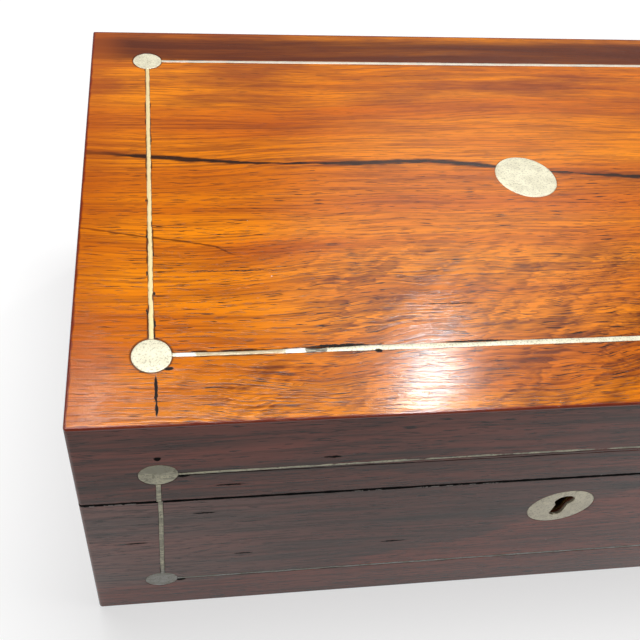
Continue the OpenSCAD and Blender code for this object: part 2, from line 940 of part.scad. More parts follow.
module lid_discs() {
    color(white_metal) {
        in_top(0) top_discs(0);
        in_front(-half_d, -core_y) front_discs(lid_line_z, 0);
    }
}
module lid_stringing() {
    color(white_metal) {
        in_top(0) difference() {
            top_lines(0);
            top_discs(inlay_gap);
        }
        difference() {
            intersection() {
                in_front(-half_d, -core_y) lid_front_lines(0);
                above_seam(rim);
            }
            in_front(-half_d - 1, 0) front_discs(lid_line_z, inlay_gap);
        }
    }
}
module lid_medallion() {
    color(white_metal) in_top(0) disc_at([0, 0], medallion_d, 0);
}

// The link plate in the lid's rim carries two staples that drop into the lock
module link_plate() {
    y1 = staple_y + staple_w;
    color(brass_yellow) difference() {
        union() {
            selvedge(1, 0);
            for (i = [-1, 1]) intersection() {
                block([i * staple_x - staple_t / 2, staple_y, staple_foot_z],
                    [i * staple_x + staple_t / 2, y1, seam_front + 1]);
                below_seam(-rim - selvedge_t / 2);
            }
        }
        for (i = [-1, 1]) {
            block([i * staple_x - staple_t, staple_y + staple_leg, staple_foot_z + eye_foot],
                [i * staple_x + staple_t, y1 - staple_leg, finger_z + finger_h + lock_play]);
        }
        lock_screw_set(1, screw_fit);
    }
}
module lid_rim_screws() {
    color(steel_grey) {
        lock_screw_set(1, 0);
        catch_screw(0);
    }
}

base_bottom_board();
base_front_board();
base_back_board();
base_left_board();
base_right_board();
base_front_veneer();
base_back_veneer();
base_left_veneer();
base_right_veneer();
base_discs();
base_stringing();
keyhole_escutcheon();
lock_case();
lock_back_plate();
lock_screws();
lock_bolt();
base_hinge_leaves();
hinge_pins();
base_hinge_screws();
pen_well_divider();
ink_partitions();
inkwell_platforms();
pen_tray();
pen_tray_ledges();
ink_bottles();
ink_bottle_collars();
left_ink_cap();
right_ink_cap();
base_flap_ledges();
base_hinge_rail();
base_rail_leather();
base_well_lining();
base_flap_board();
base_flap_leather();
base_flap_ribbon();
lid_top_board();
lid_front_board();
lid_back_board();
lid_left_board();
lid_right_board();
lid_top_veneer();
lid_front_veneer();
lid_back_veneer();
lid_left_veneer();
lid_right_veneer();
lid_discs();
lid_stringing();
lid_medallion();
lid_hinge_leaves();
lid_hinge_screws();
link_plate();
lid_rim_screws();
lid_flap_ledges();
lid_hinge_rail();
lid_rail_leather();
lid_well_lining();
lid_flap_board();
lid_flap_leather();
flap_catch();
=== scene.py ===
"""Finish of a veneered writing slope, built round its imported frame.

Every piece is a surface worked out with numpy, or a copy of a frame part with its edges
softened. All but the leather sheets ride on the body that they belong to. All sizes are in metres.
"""
import json
import math

import bmesh
import bpy
import numpy as np
from bpy.props import FloatProperty, FloatVectorProperty, IntProperty, PointerProperty
from mathutils import Matrix, Vector

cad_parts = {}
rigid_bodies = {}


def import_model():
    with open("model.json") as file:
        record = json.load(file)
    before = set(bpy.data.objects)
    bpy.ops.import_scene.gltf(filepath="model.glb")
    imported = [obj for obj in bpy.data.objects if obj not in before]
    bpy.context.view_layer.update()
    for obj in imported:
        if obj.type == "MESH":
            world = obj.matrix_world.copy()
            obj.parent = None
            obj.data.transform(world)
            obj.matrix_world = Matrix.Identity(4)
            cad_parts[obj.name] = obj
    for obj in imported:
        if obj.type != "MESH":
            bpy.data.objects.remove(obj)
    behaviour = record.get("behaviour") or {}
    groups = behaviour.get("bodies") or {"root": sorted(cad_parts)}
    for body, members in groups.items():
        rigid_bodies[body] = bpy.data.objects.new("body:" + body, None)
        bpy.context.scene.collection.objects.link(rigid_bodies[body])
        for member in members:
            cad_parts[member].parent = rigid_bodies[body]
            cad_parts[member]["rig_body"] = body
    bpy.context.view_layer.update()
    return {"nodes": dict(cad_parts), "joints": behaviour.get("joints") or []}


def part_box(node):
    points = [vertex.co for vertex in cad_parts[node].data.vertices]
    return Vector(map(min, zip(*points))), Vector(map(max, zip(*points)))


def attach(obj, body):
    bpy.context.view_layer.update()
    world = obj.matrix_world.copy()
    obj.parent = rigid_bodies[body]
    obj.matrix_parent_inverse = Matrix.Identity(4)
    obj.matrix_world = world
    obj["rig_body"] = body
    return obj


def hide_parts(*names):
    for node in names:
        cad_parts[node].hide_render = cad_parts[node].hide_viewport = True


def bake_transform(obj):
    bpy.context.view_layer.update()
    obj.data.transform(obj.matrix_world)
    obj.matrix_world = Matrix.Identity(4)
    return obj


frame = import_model()

bl_info = {
    "name": "Writing Slope",
    "version": (1, 0, 0),
    "blender": (4, 5, 0),
    "location": "3D View > Sidebar > Writing Slope",
    "description": "Builds the finish of a veneered writing slope round its packed frame",
    "category": "Add Mesh",
}

MM = 0.001
HINGE = Vector(frame["joints"][0]["pos_m"])
HALF_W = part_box("lid_top_veneer")[1].x
HALF_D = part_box("lid_top_veneer")[1].y
TOP_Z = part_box("lid_top_veneer")[1].z
CAVE_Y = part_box("base_hinge_rail")[1].y
RIM_GAP = 0.15 * MM
SEAM_SLOPE = (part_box("base_front_veneer")[1].z + RIM_GAP - HINGE.z) / (HINGE.y + HALF_D)
SEAM_ANGLE = math.atan(SEAM_SLOPE)
# Unit steps in the seam plane, away from the hinge, and square to it
SEAM_ALONG = np.array([0, -math.cos(SEAM_ANGLE), math.sin(SEAM_ANGLE)])
SEAM_UP = np.array([0, math.sin(SEAM_ANGLE), math.cos(SEAM_ANGLE)])
DISC_R = 6.35 * MM
TOP_LINE = (HALF_W - 25.4 * MM, HALF_D - 25.4 * MM)
FRONT_LINE_X = HALF_W - 26.5 * MM
LID_LINE_Z = TOP_Z - 29 * MM
BASE_LINE_Z = 26 * MM
KEY_Z = 71 * MM
CATCH_X = 70 * MM
PLATE_R = 12.5 * MM
INLAY_DEPTH = 0.9 * MM


class SlopeSizes(bpy.types.PropertyGroup):
    """Sizes of the finish that a maker would change"""

    edge: FloatProperty(
        name="Edge", description="Rounding of the case's wooden edges",
        default=0.35 * MM, min=0, max=1 * MM, unit="LENGTH", precision=5)
    metal_edge: FloatProperty(
        name="Metal edge", description="Rounding of the edges of hinges, lock and plates",
        default=0.12 * MM, min=0, max=0.5 * MM, unit="LENGTH", precision=5)
    string_width: FloatProperty(
        name="Stringing width", description="Width of the metal lines",
        default=1.6 * MM, min=0.8 * MM, max=2.4 * MM, unit="LENGTH", precision=5)
    string_wander: FloatProperty(
        name="Stringing wander", description="How far the edges of a line stray",
        default=0.12 * MM, min=0, max=0.4 * MM, unit="LENGTH", precision=5)
    disc_dome: FloatProperty(
        name="Disc dome", description="Height of a disc's middle above its rim",
        default=0.18 * MM, min=0, max=0.5 * MM, unit="LENGTH", precision=5)
    gilt_inset: FloatProperty(
        name="Gilt inset", description="Distance of the gilt line from the leather's edge",
        default=9 * MM, min=3 * MM, max=20 * MM, unit="LENGTH", precision=5)
    seed: IntProperty(
        name="Seed", description="Start of the random draws for wander and nicks",
        default=7, min=0)


class SlopeColours(bpy.types.PropertyGroup):
    """Colours of the finishes"""

    rosewood: FloatVectorProperty(
        name="Rosewood", description="Light figure of the polished rosewood",
        default=(0.88, 0.262, 0.004), size=3, subtype="COLOR", min=0, max=1)
    rosewood_mid: FloatVectorProperty(
        name="Middle rosewood", description="Middle bands of the rosewood",
        default=(0.58, 0.115, 0.004), size=3, subtype="COLOR", min=0, max=1)
    rosewood_dark: FloatVectorProperty(
        name="Dark rosewood", description="Dark figure of the rosewood",
        default=(0.16, 0.030, 0.008), size=3, subtype="COLOR", min=0, max=1)
    rosewood_black: FloatVectorProperty(
        name="Black lines", description="Near-black lines in the rosewood",
        default=(0.022, 0.009, 0.006), size=3, subtype="COLOR", min=0, max=1)
    # Painted shade: the dark red of the top's rounded edge
    arris: FloatVectorProperty(
        name="Arris", description="Dark red edge round the lid's top",
        default=(0.17, 0.014, 0.005), size=3, subtype="COLOR", min=0, max=1)
    # The side tones are darker than the top's rosewood, partly as painted shade of the case's sides
    side_light: FloatVectorProperty(
        name="Side light", description="Red bands on the case's sides",
        default=(0.42, 0.112, 0.075), size=3, subtype="COLOR", min=0, max=1)
    side_dark: FloatVectorProperty(
        name="Side dark", description="Grey-brown bands on the case's sides",
        default=(0.078, 0.044, 0.034), size=3, subtype="COLOR", min=0, max=1)
    # Painted reflection: the grey haze of the bright surroundings on the base's front
    side_painted_reflection: FloatVectorProperty(
        name="Side grey", description="Grey veil on the upper part of the base's front",
        default=(0.175, 0.108, 0.094), size=3, subtype="COLOR", min=0, max=1)
    mahogany: FloatVectorProperty(
        name="Mahogany", description="Carcass, trays and partitions",
        default=(0.30, 0.085, 0.028), size=3, subtype="COLOR", min=0, max=1)
    mahogany_dark: FloatVectorProperty(
        name="Dark mahogany", description="Darker grain of the carcass",
        default=(0.13, 0.032, 0.012), size=3, subtype="COLOR", min=0, max=1)
    white_metal: FloatVectorProperty(
        name="White metal", description="Stringing, discs and escutcheon",
        default=(0.80, 0.76, 0.57), size=3, subtype="COLOR", min=0, max=1)
    brass: FloatVectorProperty(
        name="Brass", description="Hinges, lock, catch and caps",
        default=(0.72, 0.48, 0.17), size=3, subtype="COLOR", min=0, max=1)
    leather: FloatVectorProperty(
        name="Leather", description="Writing leather",
        default=(0.030, 0.095, 0.050), size=3, subtype="COLOR", min=0, max=1)
    gilt: FloatVectorProperty(
        name="Gilt", description="Tooled line round the leather",
        default=(0.83, 0.60, 0.22), size=3, subtype="COLOR", min=0, max=1)
    paper: FloatVectorProperty(
        name="Lining paper", description="Paper in the two wells",
        default=(0.19, 0.26, 0.36), size=3, subtype="COLOR", min=0, max=1)
    ribbon: FloatVectorProperty(
        name="Ribbon", description="Tab that lifts the writing flap",
        default=(0.30, 0.014, 0.022), size=3, subtype="COLOR", min=0, max=1)


class SlopeLight(bpy.types.PropertyGroup):
    """Plain studio light"""

    overhead: FloatProperty(
        name="Overhead", description="Power of the broad lamp over the case",
        default=48, min=0, unit="POWER")
    window: FloatProperty(
        name="Window", description="Power of the small lamp behind the case",
        default=2.0, min=0, unit="POWER")
    corner: FloatProperty(
        name="Corner", description="Power of the lamp that shows at the front corner",
        default=0.15, min=0, unit="POWER")
    ambient: FloatProperty(
        name="Ambient", description="Strength of the even light from all round",
        default=0.135, min=0, max=1)
    floor: FloatProperty(
        name="Floor", description="Brightness of the floor under the lamps alone",
        default=0.38, min=0, max=1)


def sizes():
    return bpy.context.scene.slope_sizes


def colours():
    return bpy.context.scene.slope_colours


# Node wiring

class Signal:
    """A node's output that can be reckoned with: each step adds a node to its tree"""

    def __init__(self, wire, socket):
        self.wire = wire
        self.socket = socket

    def __add__(self, other):
        return self.wire.math("ADD", self, other)

    def __sub__(self, other):
        return self.wire.math("SUBTRACT", self, other)

    def __rsub__(self, other):
        return self.wire.math("SUBTRACT", other, self)

    def __mul__(self, other):
        return self.wire.math("MULTIPLY", self, other)

    def __truediv__(self, other):
        return self.wire.math("DIVIDE", self, other)

    def __abs__(self):
        return self.wire.math("ABSOLUTE", self)

    def least(self, other):
        return self.wire.math("MINIMUM", self, other)

    def most(self, other):
        return self.wire.math("MAXIMUM", self, other)

    def held(self):
        """Held between 0 and 1"""
        return self.wire.math("ADD", self, 0, clamp=True)

    def span(self, low, high, to_low=0.0, to_high=1.0, kind="SMOOTHSTEP"):
        """Carries low..high to to_low..to_high, held at both ends"""
        return self.wire.first("MapRange", (self, low, high, to_low, to_high),
                               interpolation_type=kind, clamp=True)

    def span_mm(self, low, high, to_low=0.0, to_high=1.0):
        """The same for a length, with low and high in millimetres"""
        return self.span(low * MM, high * MM, to_low, to_high)


class Wiring:
    """Adds nodes to a tree"""

    def __init__(self, tree):
        self.tree = tree

    def join(self, value, socket):
        """Joins a signal to a socket, or sets the socket to a plain value"""
        if isinstance(value, Signal):
            self.tree.links.new(value.socket, socket)
        elif value is not None:
            if socket.type == "RGBA" and len(value) == 3:
                value = (*value, 1)
            socket.default_value = value

    def add(self, kind, values=(), **settings):
        node = self.tree.nodes.new("ShaderNode" + kind)
        for key, value in settings.items():
            setattr(node, key, value)
        for socket, value in (values.items() if isinstance(values, dict) else enumerate(values)):
            self.join(value, node.inputs[socket])
        return node

    def first(self, kind, values=(), **settings):
        """The first output of a new node"""
        return Signal(self, self.add(kind, values, **settings).outputs[0])

    def read(self, kind, values=(), **settings):
        """A new node's outputs by name"""
        outputs = self.add(kind, values, **settings).outputs
        return {output.name: Signal(self, output) for output in outputs}

    def math(self, operation, *values, clamp=False):
        return self.first("Math", values, operation=operation, use_clamp=clamp)

    def mix(self, share, a, b, blend="MIX"):
        node = self.add("Mix", {0: share, 6: a, 7: b}, data_type="RGBA", blend_type=blend)
        return Signal(self, node.outputs[2])

    def vector(self, x, y, z):
        return self.first("CombineXYZ", (x, y, z))

    def parts(self, vector):
        return list(self.read("SeparateXYZ", (vector,)).values())

    def noise(self, place, scale=1.0, detail=2.0, roughness=0.5, distortion=0.0):
        """Noise at a place, which is a vector or three numbers"""
        place = place if isinstance(place, Signal) else self.vector(*place)
        return self.first("TexNoise", {"Vector": place, "Scale": scale, "Detail": detail,
                                       "Roughness": roughness, "Distortion": distortion})

    def cells(self, place, scale):
        """Distance from the nearest of scattered points"""
        return self.first("TexVoronoi", {"Vector": place, "Scale": scale})

    def group(self, name, **values):
        """The outputs of a node group, which is made on its first use"""
        if name not in GROUPS:
            GROUPS[name] = GROUP_MAKERS[name](name)
        inputs = {key.replace("_", " ").capitalize(): value for key, value in values.items()}
        return self.read("Group", inputs, node_tree=GROUPS[name])


def new_group(name, inputs, outputs):
    """An empty node group with named number inputs, given as {name: default}, and outputs"""
    tree = bpy.data.node_groups.new(name, "ShaderNodeTree")
    for label, default in inputs.items():
        socket = tree.interface.new_socket(
            name=label, in_out="INPUT", socket_type="NodeSocketFloat")
        socket.default_value = default
    for label in outputs:
        tree.interface.new_socket(name=label, in_out="OUTPUT", socket_type="NodeSocketFloat")
    wire = Wiring(tree)
    given = {socket.name: Signal(wire, socket)
             for socket in tree.nodes.new("NodeGroupInput").outputs}
    return tree, wire, given, tree.nodes.new("NodeGroupOutput").inputs


def wood_grain_group(name):
    """Growth bands, dark figure, fine lines and pores along one direction.

    The place across the grain is moved by two noises, a long slow one (Waver) and a short one
    (Swirl). Each layer is then a noise stretched along the grain.
    """
    tree, wire, given, wanted = new_group(
        name, {"Along": 0, "Across": 0, "Depth": 0, "Waver": 0.006, "Swirl": 0.001,
               "Band": 75, "Line": 1250, "Pore": 2900}, ("Bands", "Figure", "Lines", "Pores"))
    band = given["Band"]

    def layer(at, stretch, density, detail, rough):
        place = given["Along"] * stretch, at * density, given["Depth"] * density
        return wire.noise(place, detail=detail, roughness=rough)

    across = given["Across"]
    for stretch, density, reach in ((5, 13, "Waver"), (24, 34, "Swirl")):
        sway = layer(given["Across"], stretch, density, 2, 0.5) - 0.5
        across = sway * given[reach] + across
    for label, look, low, high in (("Bands", (4, band, 3, 0.55), 0.32, 0.68),
                                   ("Figure", (13, band * 3.4, 4, 0.65), 0.46, 0.68),
                                   ("Lines", (32, given["Line"], 3, 0.62), 0.44, 0.64),
                                   ("Pores", (130, given["Pore"], 1.5, 0.5), 0.605, 0.655)):
        wire.join(layer(across, *look).span(low, high), wanted[label])
    return tree


def edge_band_group(name):
    """A broken band along an edge: high where the distance from it is under the width"""
    tree, wire, given, wanted = new_group(
        name, {"Distance": 1, "Width": 0.001, "Along": 0, "Across": 0, "Grain": 160}, ("Mask",))
    rough = wire.noise((given["Along"], given["Across"], given["Distance"]), given["Grain"], 3)
    reach = given["Width"] * rough.span(0.3, 0.7, 0.8, 1.25)
    wire.join((given["Distance"] / reach).span(1.0, 0.45), wanted["Mask"])
    return tree


def outline_group(name):
    """Distance from a rectangle's outline, and from discs at its corners, in a flat plane.

    With q = |p| - half, the outline is at |length(max(q, 0)) + min(max(q), 0)|, and a corner
    disc's rim at length(q) - radius.
    """
    tree, wire, given, wanted = new_group(
        name, {"U": 0, "V": 0, "Half u": 0.1, "Half v": 0.1, "Radius": 0.006}, ("Line", "Disc"))
    qu = abs(given["U"]) - given["Half u"]
    qv = abs(given["V"]) - given["Half v"]

    def length(a, b):
        return wire.math("SQRT", a * a + b * b)

    outside = length(qu.most(0), qv.most(0))
    wire.join(abs(outside + qu.most(qv).least(0)), wanted["Line"])
    wire.join(length(qu, qv) - given["Radius"], wanted["Disc"])
    return tree


def scratches_group(name):
    """Fine crossing scratches and dull spots on rubbed metal"""
    tree, wire, given, wanted = new_group(
        name, {"X": 0, "Y": 0, "Z": 0, "Grain": 1500}, ("Scratches", "Spots", "Cloud"))
    place = wire.vector(given["X"], given["Y"], given["Z"])
    one, two = [wire.noise(wire.first("Mapping", (place, (0, 0, 0), turn, stretch)))
                for turn, stretch in (((0.4, 0.5, 0.7), (60, 2600, 2600)),
                                      ((-0.7, 0.2, -0.5), (2400, 70, 2400)))]
    wire.join(one.most(two).span(0.62, 0.76), wanted["Scratches"])
    wire.join(wire.noise(place, given["Grain"], 3).span(0.50, 0.66), wanted["Spots"])
    wire.join(wire.noise(place, given["Grain"] * 0.15, 3).span(0.35, 0.65), wanted["Cloud"])
    return tree


GROUPS = {}
GROUP_MAKERS = {"wood_grain": wood_grain_group, "edge_wear": edge_band_group,
                "inlay_outline": outline_group, "rubbed_metal": scratches_group}
MATERIALS = {}


# Materials

def new_material(name, **settings):
    """A material whose Principled shader has its plain values set on its own sockets"""
    material = bpy.data.materials.new(name)
    material.use_nodes = True
    shader = material.node_tree.nodes["Principled BSDF"]
    for key, value in settings.items():
        socket = shader.inputs[key.replace("_", " ").title().replace("Ior", "IOR")]
        socket.default_value = (*value, 1) if socket.type == "RGBA" else value
    MATERIALS[name] = material
    return Wiring(material.node_tree), shader.inputs


def place_of(wire):
    """Object coordinates as three numbers, in metres"""
    return wire.parts(wire.read("TexCoord")["Object"])


def bump(wire, shader, height, distance, strength=1.0):
    node = wire.first("Bump", {"Height": height, "Distance": distance, "Strength": strength})
    wire.join(node, shader["Normal"])


def shaded(colour, share):
    return tuple(share * c for c in colour)


def spot(u, v, centre, reach, soft=0.35):
    """1 inside an ellipse in the plane of u and v, falling to 0 past its rim. In millimetres."""
    a, b = [(at - c * MM) / (r * MM) for at, c, r in zip((u, v), centre, reach)]
    return (a * a + b * b).span(1 + soft, 1 - soft)


def ragged_spots(wire, u, v, marks):
    """Masks of marks in a plane, given as centre and reach. A fine noise makes the rims ragged"""
    if not marks:
        return []
    bent = [(wire.noise((u, v, 0.7), density) - 0.5) * (1.1 * MM) + at
            for at, density in ((u, 700), (v, 900))]
    return [spot(*bent, *mark) for mark in marks]


def either(masks):
    """The highest of several masks"""
    total = masks[0]
    for mask in masks[1:]:
        total = total.most(mask)
    return total


def follow(wire, x, points, height):
    """A curve through the points (x, height) in millimetres, read at x, in metres"""
    node = wire.add("FloatCurve")
    curve = node.mapping.curves[0]
    low, high = points[0][0] * MM, points[-1][0] * MM
    for i, (px, py) in enumerate(points):
        at = ((px * MM - low) / (high - low), py * MM / height * 0.5 + 0.5)
        if i in (0, len(points) - 1):
            curve.points[min(i, 1)].location = at
        else:
            curve.points.new(*at)
    node.mapping.update()
    wire.join(x.span(low, high, kind="LINEAR"), node.inputs["Value"])
    return Signal(wire, node.outputs[0]) * (2 * height) - height


def dust(wire, place):
    """Sparse pale specks"""
    return wire.noise(place, 9).span(0.5, 0.6) * wire.cells(place, 95).span(0.03, 0.012, 0, 0.8)


# Worn stretches of the seam's lower edge on the front, as centre and reach in x and z
SEAM_CHIPS = [((-47, 93.5), (15, 3)), ((-168, 93.5), (9, 3)), ((-80, 93.5), (5, 3))]


def seam_marks(wire, x, y, z):
    """Painted shade of the seam's gap along its edges, and pale chips in them, by the distance from
    its plane
    """
    off = y * float(SEAM_UP[1]) + z * float(SEAM_UP[2]) - float(np.array(HINGE) @ SEAM_UP)
    ragged = wire.noise((x, y, 0.5), 210, 3).span(0.35, 0.7, 0.75 * MM, 1.05 * MM)
    # A near-black band along the seam's edges paints the shade of its gap
    seam_painted_shade = (abs(off) / ragged).span(1.15, 0.8)
    chipped = either([spot(x, z, *chip) for chip in SEAM_CHIPS])
    flakes = wire.noise((x, y, z), 500).span(0.46, 0.56)
    return seam_painted_shade, seam_painted_shade * off.span_mm(-0.25, -0.5) * chipped * flakes


def polish(wire, shader, colour, grain, holes):
    """Joins the colour, lets pores and lines dent the gloss, and takes the gloss off holes"""
    wire.join(colour, shader["Base Color"])
    wire.join(holes * 0.8 + 0.14, shader["Roughness"])
    bump(wire, shader, grain["Lines"] * -1.1 - grain["Pores"], 0.018 * MM, 0.5)


def rosewood(name, along, across, depth, inlays=(), boundary=None):
    """Dark polished rosewood for an upright face, with the grain along one axis (0, 1 or 2).
    Its tones are darker than the top's partly as painted shade.

    boundary is a line below which the figure turns redder, and above which the base's front gets a
    painted grey reflection, brighter to the left. inlays makes the dark glue spots beside the discs
    and the escutcheon.
    """
    tones = colours()
    wire, shader = new_material(name, specular_ior_level=0.12)
    place = place_of(wire)
    u, v, d = place[along], place[across], place[depth]
    grain = wire.group("wood_grain", along=u, across=v, depth=d, waver=0.010, band=55,
                       line=620, pore=1700)
    light, dark = tones.side_light, tones.side_dark
    share = grain["Bands"] * 0.8 + grain["Figure"] * 0.5
    if boundary:
        stray = wire.noise((u * 40, v * 420, 0), detail=3) - 0.5
        above = (stray * (9 * MM) + v - follow(wire, u, boundary, 150 * MM)).span_mm(-2, 3)
        base = v.span_mm(97, 94)
        share = (share - base * (1 - above) * 0.5).held()
    shade = wire.mix(share, tuple(light), tuple(dark))
    # Above the boundary a painted grey reflection lies over the base's front, brighter to the left
    if boundary:
        fade = u.span_mm(-70, -160, 0.75, 2.6)
        grey = wire.mix(1.0, tuple(tones.side_painted_reflection), wire.vector(fade, fade, fade), "MULTIPLY")
        shade = wire.mix(base * above * 0.45, shade, grey)
    shade = wire.mix(grain["Lines"] * 0.55, shade, shaded(dark, 0.6))
    shade = wire.mix(grain["Pores"] * 0.9, shade, shaded(dark, 0.12))
    corner = (HALF_W if along == 0 else HALF_D) - abs(u)
    rubbed = wire.group("edge_wear", distance=corner, width=1.6 * MM, along=v, across=d,
                        grain=240)
    shade = wire.mix(rubbed["Mask"] * 0.5, shade, shaded(light, 0.55))
    # The seam's painted shade and the dark marks beside the inlays turn near black
    seam_painted_shade, chips = seam_marks(wire, *place)
    black = either([seam_painted_shade] + ragged_spots(wire, u, v, inlays))
    shade = wire.mix(black, shade, (0.003, 0.0025, 0.0025))
    pale = chips.most(dust(wire, wire.vector(u, v, d)))
    polish(wire, shader, wire.mix(pale, shade, (0.5, 0.45, 0.42)), grain, black)
    return MATERIALS[name]


# Where the base's front turns from a painted grey reflection above to redder figure below, as
# points (x, z)
FIGURE_TURN = [(-178, 20), (-115.6, 23.7), (-82.9, 28.4), (-55.7, 39.1), (-36.3, 44.8),
               (-25, 48.8), (-11.5, 57.9), (3.1, 63), (16.5, 76.6), (60, 90), (178, 94)]
# Dark gaps beside the front's discs, a pinhole, and short cracks, as centre and reach
FRONT_MARKS = [((-143.6, 112.3), (2.3, 1.5)), ((-143.9, 24.8), (2.0, 1.3)),
               ((-151.6, 123.2), (1.0, 1.2)), ((-160, 62), (4.0, 0.5)),
               ((-61, 49), (5.0, 0.55)), ((-120, 47), (3.6, 0.5)), ((-128, 104), (5, 0.5)),
               ((-96, 119), (3, 0.6)), ((-136, 84), (4, 0.5))]

# The near-black streak across the top, as points (x, y) along it
STREAK = [(-177.9, 17.1), (-153.2, 13.2), (-132.3, 11.8), (-108.5, 9.7), (-88.2, 9.5),
          (-67.5, 9.3), (-42, 10.4), (-21.2, 8.2), (-9, 6.2), (15.9, 2.7), (35.7, 0.6),
          (90, -3), (178, -9)]
# A thin dark line that runs down from the left end, as points (x, y)
LEFT_LINE = [(-178, -25.8), (-166.7, -27.9), (-152.8, -31.5), (-142, -33.6), (-130.6, -36.4),
             (-119, -39.8)]
# Dark slots beside the front line, the overrun groove below the near disc, and chips by the
# disc and the left line
TOP_MARKS = [((-93, -82.2), (10, 0.5)), ((-48, -82.3), (11, 0.35)),
             ((-80.4, -84.8), (1.4, 0.7)), ((-151.4, -96.4), (0.55, 5.4)),
             ((-151.3, -103.0), (0.5, 2.6)), ((-147.3, -88.8), (1.6, 0.6)),
             ((-155, -89.5), (1.6, 0.4)), ((-125, -48.6), (17, 0.2)), ((-51, -66), (11, 0.2)),
             ((-151.4, -71), (0.4, 1.5)), ((-153.8, -66), (0.35, 1.2)), ((-151.4, -58), (0.3, 1.0)),
             ((-151.5, -40), (0.3, 0.9)), ((-153.8, -31), (0.3, 0.8)),
             ((-151.5, -76), (0.3, 0.8)), ((-153.8, -49), (0.3, 1.1)),
             ((-153.8, -12), (0.25, 0.9)), ((-151.5, 24), (0.25, 0.8))]


def burl_figure(wire, x, y):
    """Brown figure of a burl: the level lines of a bent noise, each sharp on one side and fading
    on the other, and soft blotches. The rims stray along the grain"""
    y = (wire.noise((x * 55, y * 900, 0), detail=3) - 0.5) * (12 * MM) + y
    rise = x * -0.6 + y
    broad = wire.noise((x * 9, rise * 46, 0.6), detail=3.5, roughness=0.55, distortion=0.5)
    level = wire.math("FRACT", broad * 7)
    vein = wire.math("POWER", level, 2.0) * level.span(1.0, 0.86, 0, 1.15)
    fine = wire.noise((x * 30, rise * 190, 0.9), detail=4, roughness=0.65)
    return vein.most(fine.span(0.47, 0.66, 0, 0.9))


def top_rosewood():
    """The lid's top: grain along its length, a black streak, a dark back band, a burl near the
    front, glue lines beside the inlays, painted light that brightens it towards the right, and a
    dark red edge of painted shade on its rounding"""
    tones = colours()
    wire, shader = new_material("rosewood_top", specular_ior_level=0.5)
    x, y, z = place_of(wire)
    burl = x.span_mm(-118, -84) * y.span_mm(-22, -52)
    burl = burl.most(y.span_mm(-84, -90) * x.span_mm(-160, -120, 0.3, 1))
    grain = wire.group("wood_grain", along=x, across=y, depth=z, waver=0.022,
                       swirl=burl * 0.008 + 0.0025)
    light, mid = tuple(tones.rosewood), tuple(tones.rosewood_mid)
    dark, black = tuple(tones.rosewood_dark), tuple(tones.rosewood_black)
    # A random tone that fades towards the right: painted light that makes the top brighter to the
    # right
    tint_and_painted_light = wire.noise((x * 7, y * 22, 0.3)).span(0.38, 0.62) * x.span_mm(-120, -20, 1, 0.4)
    shade = wire.mix(tint_and_painted_light * 0.45 + grain["Bands"] * 0.6, light, mid)
    below = y.span_mm(14, 2, 0, 0.45) * y.span_mm(-34, -8)
    shade = wire.mix(below, shade, shaded(mid, 0.86))
    shade = wire.mix(grain["Figure"] * (tint_and_painted_light * 0.4 + 0.22), shade, dark)
    patch = wire.noise((x * 16, y * 75, 0.8), detail=4, roughness=0.6).span(0.36, 0.66)
    shade = wire.mix(y.span_mm(12, 70, 0.1, 0.75) * patch, shade, shaded(dark, 1.5))
    knots = burl_figure(wire, x, y) * burl * (grain["Lines"] * 0.5 + 0.62).held()
    shade = wire.mix(knots, shade, shaded(dark, 0.6))
    shade = wire.mix(grain["Lines"] * 0.5, shade, dark)
    shade = wire.mix(grain["Pores"] * y.span_mm(30, -20, 0.45, 0.95), shade, black)

    ragged = wire.noise((x * 120, y * 1100, 0), detail=3) - 0.5
    off = abs(ragged * (2.6 * MM) + y - follow(wire, x, STREAK, 30 * MM))
    thick = wire.noise((x * 34, 0.4, 0)).span(0.38, 0.62, 0.3 * MM, 1.3 * MM)
    halo = off.span_mm(4.5, 0.6, 0, 0.8) * (grain["Lines"] * 0.7 + 0.2)
    shade = wire.mix(halo, shade, dark)
    shade = wire.mix((off / thick).span(1.6, 0.6, 0, 0.96), shade, black)
    off = abs(ragged * (1.5 * MM) + y - follow(wire, x, LEFT_LINE, 45 * MM))
    line = off.span_mm(0.6, 0.2, 0, 0.75) * x.span_mm(-119, -128)
    shade = wire.mix(line, shade, shaded(dark, 0.4))

    band = y.span_mm(83, 85.5) * y.span_mm(107, 101, 0.35, 1) * (grain["Bands"] * 0.3 + 0.68)
    shade = wire.mix(band, shade, shaded(dark, 0.55))
    outline = wire.group("inlay_outline", u=x, v=y, half_u=TOP_LINE[0], half_v=TOP_LINE[1],
                         radius=DISC_R)
    beside = outline["Line"] - sizes().string_width / 2
    glue = beside.span_mm(0.75, 0.3, 0, 0.9) * wire.noise((x, y, z), 130, 3).span(0.46, 0.6)
    ring = outline["Disc"].span_mm(0.9, 0.3, 0, 0.7)
    shade = wire.mix(glue.most(ring), shade, shaded(dark, 0.35))
    holes = either(ragged_spots(wire, x, y, TOP_MARKS))
    shade = wire.mix(holes, shade, (0.008, 0.005, 0.004))
    side_off = HALF_W - abs(x)
    shade = wire.mix(side_off.span_mm(20, 2, 0, 0.45), shade, shaded(mid, 0.72))
    # The dark red arris band is painted shade of the top's rounded edge
    arris = wire.group("edge_wear", distance=side_off.least(HALF_D - abs(y)),
                       width=1.35 * MM, along=x, across=y)
    shade = wire.mix(arris["Mask"] * 0.92, shade, tuple(tones.arris))
    shade = wire.mix(dust(wire, wire.vector(x, y, z)), shade, (0.9, 0.8, 0.7))
    polish(wire, shader, shade, grain, holes)
    return MATERIALS["rosewood_top"]


